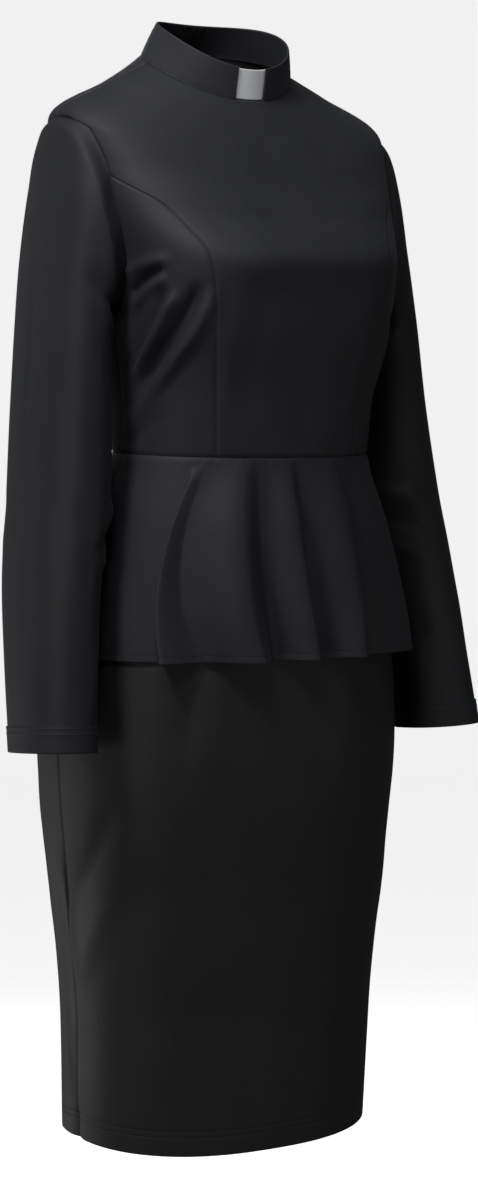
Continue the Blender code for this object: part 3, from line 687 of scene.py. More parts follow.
@dataclass(frozen=True)
class PonteKnit:
    """Ponte: a firm double knit of viscose, nylon and elastane, piece-dyed and pressed.

    Its close smooth face gives a soft satin light on whatever faces the lamp, and its fibres a faint bloom
    at grazing angles. Real wales are about 0.9 mm apart; they are drawn 1.6 mm apart, because finer ones
    would be lost between the picture's points, which are 1 mm.
    """

    name: str
    colour: str
    high_colour: str
    roughness: float = 0.60
    specular: float = 0.30
    sheen: float = 0.05
    wale_mm: float = 1.6
    course_mm: float = 1.3
    bump: float = 0.22

    def material(self) -> bpy.types.Material:
        """Node material of the knit, whose wales and courses follow the piece's cut."""
        nodes = NodeMaterial(self.name)
        place = nodes.on_cut()
        drift = nodes.noise(place, 90.0).outputs["Color"]  # the rows of loops stray by up to 1.6 mm
        bent = nodes.blend(1.6 * MM, place, drift, "ADD")
        axis = nodes.add("SeparateXYZ", {0: bent})
        wales, courses = (
            nodes.math("SINE", nodes.math("MULTIPLY", axis.outputs[way], 2 * math.pi / (pitch * MM)))
            for way, pitch in (("X", self.wale_mm), ("Y", self.course_mm)))
        loops = nodes.math("MULTIPLY_ADD", courses, 0.45, wales)
        fibre = nodes.noise(place, 900.0, 3.0, 0.6).outputs["Fac"]  # stray fibres, about 1 mm
        relief = nodes.math("MULTIPLY_ADD", fibre, 1.5, loops)
        cloudy = nodes.noise(place, 14.0, 4.0, 0.55).outputs["Fac"]  # uneven pressing, about 70 mm
        tone = nodes.blend(nodes.ranged(cloudy, 0.3, 0.75, 0.0, 0.7), linear(self.colour),
                           linear(self.high_colour))
        # Painted shade and light: the colour follows the knit's relief, darker in the grooves between the
        # loops and lighter on the raised loops and stray fibres.
        relief_shade = nodes.ranged(relief, -1.5, 3.0, 0.82, 1.12)
        colour = nodes.add("VectorMath", {0: tone, "Scale": relief_shade}, operation="SCALE").outputs[0]
        rough = nodes.ranged(cloudy, 0.2, 0.8, self.roughness - 0.05, self.roughness + 0.06)
        return nodes.closed({"Base Color": colour, "Roughness": rough,
                             "Normal": nodes.bump(relief, self.bump, 0.22 * MM),
                             "Specular IOR Level": self.specular, "Sheen Weight": self.sheen,
                             "Sheen Roughness": 0.42, "Sheen Tint": linear("AEB4C4")})


@dataclass(frozen=True)
class Thread:
    """Polyester sewing thread: smoother and a little brighter than the cloth, with plies 0.5 mm apart."""

    name: str = "polyester_thread"
    colour: str = "34363B"
    shade: str = "222326"

    def material(self) -> bpy.types.Material:
        """Node material of the thread."""
        nodes = NodeMaterial(self.name)
        twist = nodes.noise(nodes.on_object(), 1800.0, 1.0).outputs["Fac"]
        # Painted shade and light: the thread's colour follows its twist's bump, darker between the plies and
        # lighter on them.
        return nodes.closed({"Base Color": nodes.blend(twist, linear(self.shade), linear(self.colour)),
                             "Normal": nodes.bump(twist, 0.4, 0.1 * MM),
                             "Roughness": 0.42, "Specular IOR Level": 0.5})


@dataclass(frozen=True)
class TabPlastic:
    """Wipe-clean polypropylene strip, calendered with a fine linen grain: white, even, softly glossy."""

    name: str = "white_polypropylene"
    colour: str = "F1F1F2"
    shade: str = "E8E8EA"
    grain_mm: float = 0.8

    def material(self) -> bpy.types.Material:
        """Node material of the strip."""
        nodes = NodeMaterial(self.name)
        place = nodes.on_object()
        grain = nodes.noise(place, 1 / (self.grain_mm * MM)).outputs["Fac"]
        mottle = nodes.noise(place, 60.0).outputs["Fac"]
        return nodes.closed({"Base Color": nodes.blend(mottle, linear(self.shade), linear(self.colour)),
                             "Normal": nodes.bump(grain, 0.12, 0.1 * MM),
                             "Roughness": 0.38, "IOR": 1.49, "Subsurface Weight": 0.05})


@dataclass(frozen=True)
class ZipTape:
    """Woven polyester zip tape: dull black, with a fine herringbone."""

    name: str = "woven_zip_tape"
    colour: str = "151517"
    high_colour: str = "26262A"

    def material(self) -> bpy.types.Material:
        """Node material of the tape."""
        nodes = NodeMaterial(self.name)
        weave = nodes.add("TexWave", {"Vector": nodes.on_cut(), "Scale": 160.0, "Distortion": 0.6},
                          bands_direction="DIAGONAL").outputs["Fac"]
        return nodes.closed({"Base Color": nodes.blend(weave, linear(self.colour), linear(self.high_colour)),
                             "Normal": nodes.bump(weave, 0.5, 0.2 * MM),
                             "Roughness": 0.8, "Specular IOR Level": 0.3})


@dataclass(frozen=True)
class LacqueredZinc:
    """Die-cast zinc under black lacquer: a dark gloss, worn to grey along its edges."""

    name: str = "black_lacquered_zinc"
    colour: str = "1B1B1D"
    worn: str = "6E6E72"

    def material(self) -> bpy.types.Material:
        """Node material of the zip's metal."""
        nodes = NodeMaterial(self.name)
        edge = nodes.add("NewGeometry").outputs["Pointiness"]
        scuff = nodes.noise(nodes.on_object(), 900.0, 3.0).outputs["Fac"]
        wear = nodes.math("MULTIPLY", nodes.ranged(edge, 0.52, 0.60, 0.0, 0.8), scuff)
        return nodes.closed({"Base Color": nodes.blend(wear, linear(self.colour), linear(self.worn)),
                             "Roughness": nodes.ranged(scuff, 0.3, 0.7, 0.25, 0.45), "Metallic": 0.85})


# Painted light and shade: all five pieces are one black ponte, but each has its own colour pair, lightest on
# the collar and darkest on the sleeves, standing for how brightly each part is lit.
BODICE_KNIT = PonteKnit("ponte_knit_bodice", "222327", "2A2B30")
SLEEVE_KNIT = PonteKnit("ponte_knit_sleeve", "1B1C1F", "232427")
PEPLUM_KNIT = PonteKnit("ponte_knit_peplum", "212226", "292A2E")
SKIRT_KNIT = PonteKnit("ponte_knit_skirt", "1F2022", "272829")
COLLAR_KNIT = PonteKnit("ponte_knit_collar", "27282D", "303136")


@dataclass
class Wardrobe:
    """Materials of the dress, each made once."""

    bodice: bpy.types.Material = field(default_factory=BODICE_KNIT.material)
    sleeve: bpy.types.Material = field(default_factory=SLEEVE_KNIT.material)
    peplum: bpy.types.Material = field(default_factory=PEPLUM_KNIT.material)
    skirt: bpy.types.Material = field(default_factory=SKIRT_KNIT.material)
    collar: bpy.types.Material = field(default_factory=COLLAR_KNIT.material)
    thread: bpy.types.Material = field(default_factory=Thread().material)
    tab: bpy.types.Material = field(default_factory=TabPlastic().material)
    tape: bpy.types.Material = field(default_factory=ZipTape().material)
    metal: bpy.types.Material = field(default_factory=LacqueredZinc().material)


# Stitching


@dataclass
class StitchRow:
    """Row of stitches along a line on the cloth."""

    length: float = 2.6
    space: float = 0.7
    radius: float = 0.26
    sink: float = 0.12
    least: float = 0.02  # keeps the ends from closing to a point

    def shape(self, line: Array, normals: Array) -> tuple[Array, Array]:
        """Points and faces of the stitches.

        Each stitch is a tube whose radius goes as the square root of 1 less s to the fourth, for s from -1 to
        1 along it, and it arches over the cloth as 1 less s squared.

        Args:
            line: Points of the line in millimetres.
            normals: Outward normal at each point.

        Returns:
            Points and quads of all the stitches.
        """
        run = run_along(line)
        pitch = self.length + self.space
        middle = np.arange(pitch / 2, run[-1] - pitch / 2, pitch)
        s = np.array([-1.0, -0.82, -0.4, 0.4, 0.82, 1.0])
        place = middle[:, None] + s[None, :] * self.length / 2
        axis = follow(place, run, line)
        up = unit(follow(place, run, normals))
        across = np.cross(up, unit(np.gradient(axis, axis=1)))
        radius = self.radius * np.sqrt(np.maximum(1 - s ** 4, self.least))
        lift = (self.sink + self.radius) * (1 - s ** 2) - self.sink
        return tubes(axis + up * lift[None, :, None], up, across, radius)


@dataclass
class Stitching:
    """All the top-stitching of the dress, gathered row by row."""

    rows: dict[str, list[tuple[Array, Array]]] = field(default_factory=dict)

    def add(self, name: str, line: tuple[Array, Array], stitch: StitchRow = StitchRow(),
            lift: float = CLOTH / 2) -> None:
        """Sew a row along a line of points and normals, on the cloth's face."""
        points, normals = line
        self.rows.setdefault(name, []).append(stitch.shape(points + normals * lift, normals))

    def build(self, material: bpy.types.Material, slots: Mapping[str, str]) -> None:
        """Make one piece from each group of rows."""
        for name, shapes in self.rows.items():
            counts = np.cumsum([0] + [len(points) for points, _ in shapes])
            points = np.concatenate([points for points, _ in shapes])
            faces = np.concatenate([faces + start for (_, faces), start in zip(shapes, counts)])
            place_object(name, build_mesh(name, points, faces), material)


# Bodice


NECK_RING = Ring(0.00, 80, -65, 0, 63, -40, 0, 20, 2.0, 2.0)
BODICE_RINGS = (
    NECK_RING,
    Ring(0.12, 124, -84, 3, 76, -72, -22, -44, 2.1, 2.1),
    Ring(0.27, 185, -112, 4, 88, -118, -60, -104, 2.4, 2.3),
    Ring(0.42, 171, -146, -6, 92, -162, -122, -124, 2.8, 2.6),
    Ring(0.60, 148, -183, -30, 86, -214, -216, -212, 3.1, 2.5),
    Ring(0.72, 142, -172, -38, 76, -272, -272, -270, 2.9, 2.4),
    Ring(0.86, 137, -156, -44, 64, -338, -338, -336, 2.4, 2.3),
    Ring(1.00, 135, -146, -48, 54, -400, -396, -394, 2.2, 2.2),
)
ARMHOLE = Seam((
    (0.00, 90.0, 0.270), (0.05, 80.0, 0.269), (0.09, 75.0, 0.275), (0.17, 69.5, 0.345), (0.22, 68.3, 0.390),
    (0.30, 68.5, 0.470), (0.37, 71.0, 0.550), (0.43, 76.0, 0.622), (0.47, 82.0, 0.668), (0.50, 90.0, 0.690),
    (0.54, 102.0, 0.676), (0.60, 113.0, 0.630), (0.68, 117.5, 0.550), (0.77, 115.0, 0.460),
    (0.86, 109.5, 0.370), (0.94, 101.0, 0.292), (1.00, 90.0, 0.270),
))
PRINCESS = Seam((
    (0.000, 68.3, 0.390), (0.100, 60.0, 0.402), (0.160, 53.0, 0.416), (0.235, 47.0, 0.447),
    (0.310, 42.0, 0.500), (0.390, 38.3, 0.560), (0.475, 37.6, 0.625), (0.630, 39.2, 0.735),
    (0.765, 41.0, 0.830), (0.885, 42.6, 0.915), (1.000, 43.6, 1.000),
))
TIP_LEVEL = 0.27
UNDERARM_LEVEL = 0.69
PRINCESS_SHARE = 0.22
UNDERARM_SHARE = 0.50

BODICE_CREASES = (
    # Near side: pulls that run from the bust point down to the side seam
    Crease(((-50, -206), (-61, -210), (-78, -222)), 6, 3.2, 0.3, 0.2),
    Crease(((-54, -214), (-63, -224), (-77, -243)), 4.6, -6.0, 0.3, 0.2),
    Crease(((-53, -221), (-62, -234), (-74, -256)), 5.4, 4.2, 0.3, 0.3),
    Crease(((-54, -232), (-65, -269), (-85, -322)), 5, -4.8, 0.25, 0.3),
    Crease(((-51, -236), (-61, -272), (-80, -326)), 5.4, 7.4, 0.25, 0.35),
    Crease(((-42, -228), (-51.5, -269), (-66, -306), (-88, -358)), 7, -8.6, 0.2, 0.3),
    Crease(((-38, -232), (-45, -270), (-58.5, -309), (-82, -369)), 6.4, 7.0, 0.3, 0.35),
    Crease(((-62, -350), (-76, -372), (-92, -394)), 8, -1.8),
    # Far side: the same pulls, less strong
    Crease(((52, -206), (66, -228), (80, -246)), 8, -3.0),
    Crease(((48, -228), (66, -270), (85, -318)), 9, 3.4),
    Crease(((43, -236), (64, -296), (88, -350)), 8, -3.0),
    Crease(((38, -226), (60, -304), (90, -378)), 10, 3.2),
    # Front: the cloth stretched between the bust points, then let go below them
    Crease(((-34, -214), (0, -210), (34, -210)), 14, 2.0, 0.2, 0.2),
    Crease(((-30, -244), (0, -240), (30, -240)), 22, -2.6, 0.2, 0.2),
    Crease(((-29, -232), (-35, -304), (-40, -372)), 7, 1.3),
    Crease(((-20, -250), (-25, -310), (-28, -380)), 12, -1.0),
    Crease(((30, -250), (33, -310), (36, -385)), 12, 1.1),
    Crease(((8, -300), (4, -340), (2, -395)), 18, -0.8),
    # Shoulders and upper chest
    Crease(((-80, -78), (-60, -118), (-40, -128)), 14, -1.3),
    Crease(((76, -84), (56, -120), (34, -128)), 14, -1.1),
    Crease(((-30, -60), (0, -82), (30, -60)), 12, -0.8),
    # Back: hollow between the shoulder blades, folds above the waist
    Crease(((106, -110), (128, -150), (150, -190)), 14, -1.8),
    Crease(((-104, -112), (-130, -150), (-152, -196)), 15, -1.6),
    Crease(((100, -286), (128, -312), (166, -300)), 10, -2.2),
    Crease(((98, -314), (130, -346), (172, -336)), 9, 2.2),
    Crease(((100, -352), (132, -372), (168, -368)), 8, -1.8),
    Crease(((-98, -282), (-126, -318), (-164, -306)), 10, -2.0),
    Crease(((-100, -322), (-128, -352), (-170, -340)), 9, 2.3),
    Crease(((-100, -356), (-136, -380), (-166, -376)), 8, -1.7),
    Crease(((124, -200), (132, -260), (140, -330)), 14, -1.4),
    Crease(((-122, -196), (-134, -262), (-138, -334)), 14, -1.6),
)


@dataclass
class Bodice:
    """Five panels of the bodice."""

    form: Form = field(default_factory=lambda: Form(BODICE_RINGS, BODICE_CREASES))
    step: float = 2.7
    shoulder_rows: int = 29
    hole_rows: int = 35
    front_width: float = 240.0
    front_length: float = 310.0  # along the princess seam
    side_width: float = 105.0
    side_length: float = 300.0
    side_underarm: float = 180.0  # from the princess seam's top, along the armhole
    side_point: float = 0.003  # share at which its first row starts, so that its point stays open
    back_width: float = 165.0
    back_length: float = 420.0
    back_tip: float = 92.0  # from the neck to the shoulder's tip
    back_underarm: float = 268.0

    def front(self) -> Patch:
        """Centre front: rows join equal levels on its two edges, and dip in the middle below the shoulders.

        A place down an edge is 0 at the neck, 4 at the shoulder's tip, 8 at the top of the princess seam and
        28 at the waist seam. The dip ends at 12.
        """
        tip, corner, dip_end, waist = 4, 8, 12, 28
        upper = np.linspace(0, tip, self.shoulder_rows + 1)[:-1]
        hole = np.linspace(tip, corner, self.hole_rows + 1)[:-1]
        lower = corner + (waist - corner) * shares(self.front_length, self.step)
        place = np.concatenate([upper, hole, lower])
        edge = np.concatenate([upright(90.0, TIP_LEVEL * upper / tip),
                               ARMHOLE.at(PRINCESS_SHARE * (hole - tip) / (corner - tip)),
                               PRINCESS.at((lower - corner) / (waist - corner))])
        join = PRINCESS.at((dip_end - corner) / (waist - corner))[1]
        dipped = TIP_LEVEL + (join - TIP_LEVEL) * (place - tip) / (dip_end - tip)
        middle = np.where((place > tip) & (place < dip_end), dipped, edge[:, 1])
        share = shares(self.front_width, self.step)
        bend = 4 * share * (1 - share)
        level = edge[:, 1:] * (1 - bend) + middle[:, None] * bend
        return self.form.patch(level, edge[:, :1] * (2 * share - 1))

    def side(self, side: Side) -> Patch:
        """Side front: rows join the princess seam to the armhole and then to the side seam."""
        underarm = self.side_underarm / self.side_length
        place = shares(self.side_length, self.step, [self.side_underarm])
        place[0] = self.side_point
        down_hole = np.minimum(place, underarm) / underarm
        hole = ARMHOLE.at(PRINCESS_SHARE + (UNDERARM_SHARE - PRINCESS_SHARE) * down_hole)
        low = upright(90.0, UNDERARM_LEVEL + (1 - UNDERARM_LEVEL) * (place - underarm) / (1 - underarm))
        outer = np.where(place[:, None] < underarm, hole, low)
        return self.between(PRINCESS.at(place), outer, side, self.side_width)

    def back(self, side: Side) -> Patch:
        """Back: rows join the shoulder, armhole and side seam to the centre back."""
        tip, underarm = self.back_tip / self.back_length, self.back_underarm / self.back_length
        place = shares(self.back_length, self.step, [self.back_tip, self.back_underarm])
        shoulder = upright(90.0, TIP_LEVEL * place / tip)
        down_hole = np.clip((place - tip) / (underarm - tip), 0, 1)
        hole = ARMHOLE.at(1 - (1 - UNDERARM_SHARE) * down_hole)
        low = upright(90.0, UNDERARM_LEVEL + (1 - UNDERARM_LEVEL) * (place - underarm) / (1 - underarm))
        outer = np.where(place[:, None] < tip, shoulder, np.where(place[:, None] < underarm, hole, low))
        middle = np.interp(place, [0, tip, underarm, 1], [0, TIP_LEVEL, UNDERARM_LEVEL, 1])
        return self.between(outer, upright(180.0, middle), side, self.back_width)

    def between(self, first: Array, last: Array, side: Side, width: float) -> Patch:
        """Patch whose rows run straight between two edges of (angle, level) rows; the right side is mirrored.

        Args:
            first: Edge nearer the centre front, on the left side.
            last: Edge nearer the centre back, on the left side.
            side: Side of the body.
            width: Usual width in millimetres, which sets the columns.

        Returns:
            The patch.
        """
        share = shares(width, self.step)[:, None]
        place = first[:, None] * (1 - share) + last[:, None] * share
        angle, level = place[..., 0], place[..., 1]
        if side is Side.RIGHT:
            angle, level = -angle[:, ::-1], level[:, ::-1]
        return self.form.patch(level, angle)

    def build(self, wardrobe: Wardrobe) -> None:
        """Make the five panels."""
        every = tuple(Edge)
        patches = {"bodice_front": self.front().rolled(every)}
        for side in Side:
            patches[f"bodice_side_{side.word}"] = self.side(side).rolled(every[1:])
            patches[f"bodice_back_{side.word}"] = self.back(side).rolled(every)
        for name, patch in patches.items():
            lay_cloth(name, patch, wardrobe.bodice)


# Sleeves


@dataclass(frozen=True)
class SleeveSection:
    """Cross section of a sleeve: its outer and inner points and half its depth from front to back."""

    fit: float
    outer_x: float
    outer_y: float
    outer_z: float
    inner_x: float
    inner_y: float
    inner_z: float
    half_depth: float
    square: float


SLEEVE_SECTIONS = (
    SleeveSection(0.55, 189.5, 4, -66, 150, -33, -258, 66, 2.1),
    SleeveSection(0.90, 195, 3, -86, 153, -31, -256, 66, 2.2),
    SleeveSection(1.00, 199, 1, -115, 155, -28, -255, 66, 2.3),
    SleeveSection(1.00, 205, 0, -155, 155, -23, -259, 66, 2.4),
    SleeveSection(1.00, 211.5, -3, -205, 154, -18, -270, 67, 2.5),
    SleeveSection(1.00, 218, -8, -265, 152, -12, -296, 69, 2.5),
    SleeveSection(1.00, 226.5, -13, -344, 151, -13, -352, 70, 2.4),
    SleeveSection(1.00, 239, -24, -443, 156, -24, -446, 69, 2.3),
    SleeveSection(1.00, 248, -33, -515, 171, -33, -517, 67, 2.3),
    SleeveSection(1.00, 257, -51, -599, 183, -51, -600, 60, 2.3),
    SleeveSection(1.00, 265, -70, -681, 191, -70, -684, 52, 2.2),
)
# A sleeve's angle goes round it: 0 outer, 90 front, 180 inner, 270 back
RIGHT_SLEEVE_CREASES = (
    Crease(((60, -212), (120, -246), (178, -292)), 9, 2.4),
    Crease(((70, -236), (130, -272), (185, -326)), 9, -2.4),
    Crease(((100, -300), (140, -330), (190, -350)), 10, 1.6),
    Crease(((40, -120), (60, -170), (66, -240)), 12, -1.2),
    Crease(((112, -470), (150, -448), (200, -440)), 8, -2.8),
    Crease(((96, -492), (140, -474), (190, -462)), 8, 2.6),
    Crease(((112, -508), (150, -496), (210, -490)), 7, -2.2),
    Crease(((60, -440), (90, -480), (100, -540)), 12, 1.4),
    Crease(((20, -420), (40, -520), (52, -620)), 14, -1.2),
    Crease(((215, -470), (270, -452), (330, -446)), 11, 2.2),
    Crease(((210, -500), (270, -486), (325, -480)), 11, -2.2),
    Crease(((130, -560), (120, -610), (118, -655)), 10, -1.4),
    Crease(((345, -200), (352, -320), (350, -430)), 14, -1.0),
    Crease(((280, -180), (262, -240), (220, -300)), 12, 2.0),
    Crease(((290, -210), (268, -276), (222, -336)), 10, -2.0),
)
LEFT_SLEEVE_CREASES = (
    Crease(((58, -206), (118, -240), (176, -286)), 10, 2.6),
    Crease(((66, -240), (128, -280), (184, -330)), 9, -2.2),
    Crease(((84, -452), (130, -440), (190, -436)), 10, -2.4),
    Crease(((76, -478), (130, -468), (188, -462)), 10, 2.4),
    Crease(((100, -504), (150, -496), (208, -494)), 9, -2.0),
    Crease(((30, -430), (48, -520), (60, -610)), 14, -1.4),
    Crease(((216, -468), (272, -448), (330, -444)), 11, 2.0),
    Crease(((212, -500), (272, -488), (322, -484)), 10, -2.0),
    Crease(((286, -176), (264, -238), (222, -296)), 12, 2.0),
    Crease(((292, -212), (268, -280), (222, -338)), 10, -1.8),
)
SLEEVE_ARC = 0.98
CUFF_STITCHES = (17.0, 23.0)
HEM_STITCHES = (17.5, 23.5)
CUFF_LIFT = 4.0


@dataclass
class Sleeve:
    """One sleeve: a tube that starts on the armhole seam and ends in a turned and twin-stitched cuff."""

    side: Side
    body: Form
    step: float = 3.2
    columns: int = 128
    hem: float = 25.0
    seam_angle: float = 196.0
    seam_depth: float = 0.8
    seam_width: float = 1.8
    head_height: float = 1.1  # swell of the sleeve's head over the armhole seam
    head_peak: float = 7.0
    creased_from: float = 30.0  # distance over which the creases grow from the armhole

    def rings(self) -> tuple[Array, Array]:
        """Armhole and cross sections of the left sleeve, and the turn of each column.

        A section is a superellipse about the middle of its outer and inner points. The upper ones are blended
        with the armhole's own shape by their fit, and the last two dip at the front by the cuff's lift.

        Returns:
            Points (sections, columns, 3), and angles in degrees.
        """
        share = np.arange(self.columns) / self.columns
        angle, level = ARMHOLE.at(share).T
        flip = np.array([self.side.value, 1, 1])
        hole = self.body.patch(level, angle * self.side.value)
        start = hole.lifted(np.full(self.columns, -ROLL_DEPTH)).points * flip
        edge = hole.points * flip
        turn = 2 * np.pi * share
        value = {f.name: np.array([getattr(s, f.name) for s in SLEEVE_SECTIONS])[:, None]
                 for f in fields(SleeveSection)}
        across, ahead = np.cos(turn)[None], np.sin(turn)[None]
        square = value["square"]
        reach = (np.abs(across) ** square + np.abs(ahead) ** square) ** (-1 / square)
        across, ahead = across * reach, ahead * reach
        middle = {k: (value["outer_" + k] + value["inner_" + k]) / 2 for k in "xyz"}
        half = {k: (value["outer_" + k] - value["inner_" + k]) / 2 for k in "xyz"}
        lift = CUFF_LIFT * smooth_step(np.arange(3 - len(SLEEVE_SECTIONS), 3) / 2)[:, None]
        section = np.stack([middle["x"] + half["x"] * across,
                            middle["y"] + half["y"] * across - value["half_depth"] * ahead,
                            middle["z"] + half["z"] * across + lift * ahead], axis=-1)
        centre = section.mean(axis=1, keepdims=True)
        fit = value["fit"][..., None]
        shaped = section * fit + (centre + edge - edge.mean(axis=0)) * (1 - fit)
        return np.concatenate([start[None], shaped]), np.degrees(turn)

    def patch(self) -> Patch:
        """Smooth tube through the sections, with its creases, seam, grooves and hem."""
        rings, turn = self.rings()
        knots = run_along(rings).mean(axis=1)
        ends = [knots[-1] - place for place in CUFF_STITCHES]
        points = spline(knots, rings, stations(knots[-1], self.step, ends))
        around = np.roll(points, -1, axis=1) - np.roll(points, 1, axis=1)
        down = np.gradient(points, axis=0)
        normals = unit(np.cross(down, around))
        creases = RIGHT_SLEEVE_CREASES if self.side is Side.RIGHT else LEFT_SLEEVE_CREASES
        angle = np.broadcast_to(turn[None], points.shape[:2])
        height = sum(c.height_at(angle, points[..., 2], SLEEVE_ARC) for c in creases)
        height = height * smooth_step(run_along(points) / self.creased_from)
        seam = (angle - self.seam_angle) * SLEEVE_ARC / self.seam_width
        patch = Patch(points, normals).lifted(height - self.seam_depth * np.exp(-seam ** 2))
        head = self.head_height * welt(patch.down(), self.head_peak) * (0.6 + 0.4 * np.cos(np.radians(angle)))
        patch = patch.lifted(head).grooved(Edge.BOTTOM, CUFF_STITCHES)
        if self.side is Side.RIGHT:
            flip = np.array([-1, 1, 1])
            patch = Patch(patch.points[:, ::-1] * flip, patch.normals[:, ::-1] * flip)
        return patch

    def build(self, wardrobe: Wardrobe, stitching: Stitching) -> None:
        """Make the sleeve and its cuff's stitches."""
        patch = self.patch()
        for place in CUFF_STITCHES:
            points, normals = patch.line_from(Edge.BOTTOM, place)
            closed = (np.concatenate([points, points[:1]]), np.concatenate([normals, normals[:1]]))
            stitching.add("cuff_stitches", closed)
        lay_cloth(f"sleeve_{self.side.word}", patch.hemmed(self.hem), wardrobe.sleeve,
                  wrap=True)


# Collar and tab


@dataclass
class Collar:
    """Stand collar in two stiffened halves, with a white tab behind its notch."""

    form: Form = field(default_factory=lambda: Form((
        NECK_RING, Ring(1.00, 70, -72, -14, 44, -9, 33, 48, 2.0, 2.0))))
    height: float = 39.0
    half_length: float = 205.0
    step_down: float = 2.6
    step_round: float = 2.8
    fine_at: float = 36.0
    wave: float = 0.5
    notch_half: float = 16.0
    half_thickness: float = 1.15
    rounding: float = 1.2
    lap: float = 0.045
    stitch_at: float = 2.6
    cut: Cut = Cut(0.21, 0.045, 0.0084)
    tab_top: float = 0.96
    tab_size: tuple[float, float] = (62.0, 36.0)
    tab_half: float = 29.5  # half its width on the form, against notch_half
    tab_inside: float = 2.1
    tab_half_thickness: float = 0.5
    tab_rounding: float = 0.6
    tab_step: float = 2.5

    def notch_angle(self, level: Array) -> Array:
        """Angle of the notch's edge, so that the notch keeps its width."""
        low, high = (ring.side_y - ring.front_y for ring in self.form.rings)
        return np.degrees(np.arctan(self.notch_half / (low + (high - low) * level)))

    def patch(self, side: Side) -> Patch:
        """Half of the collar from the notch to the centre back: rows run down from its top edge.

        The last rows lap over the neck's edge.
        """
        level = 1 - (1 + self.lap) * shares(self.height, self.step_down, [self.fine_at])
        notch = self.notch_angle(level)[:, None]
        angle = notch + (180 - notch) * shares(self.half_length, self.step_round)
        grid = np.broadcast_to(level[:, None], angle.shape)
        if side is Side.RIGHT:
            angle, grid = -angle[:, ::-1], grid[:, ::-1]
        wave = self.wave * np.sin(np.radians(angle) * 5 + side.value) * np.sin(np.pi * np.clip(grid, 0, 1))
        return self.form.patch(grid, angle).lifted(wave).grooved(Edge.BOTTOM, (self.stitch_at,), FINE_GROOVE)

    def tab(self) -> Patch:
        """White strip behind the notch, a little lower than the collar's top edge."""
        width, height = self.tab_size
        level = self.tab_top * (1 - shares(height, self.tab_step))[:, None]
        wide = self.notch_angle(level) * (self.tab_half / self.notch_half)
        angle = wide * (2 * shares(width, self.tab_step) - 1)
        return self.form.patch(level, angle).lifted(np.full(angle.shape, -self.tab_inside))

    def build(self, wardrobe: Wardrobe, stitching: Stitching) -> None:
        """Make both halves, the stitches along the neck seam and the tab."""
        for side in Side:
            patch = self.patch(side)
            name = f"collar_{side.word}"
            shell = pillow(patch, self.half_thickness, self.rounding)
            piece = place_object(name + "_band", build_mesh(name + "_band", *shell), wardrobe.collar,
                                 [name])
            stitching.add("collar_stitches", patch.line_from(Edge.BOTTOM, self.stitch_at),
                          lift=self.half_thickness)
        shell = pillow(self.tab(), self.tab_half_thickness, self.tab_rounding)
        place_object("collar_tab_strip", build_mesh("collar_tab_strip", *shell), wardrobe.tab,
                     ["collar_tab"])


# Skirt and peplum


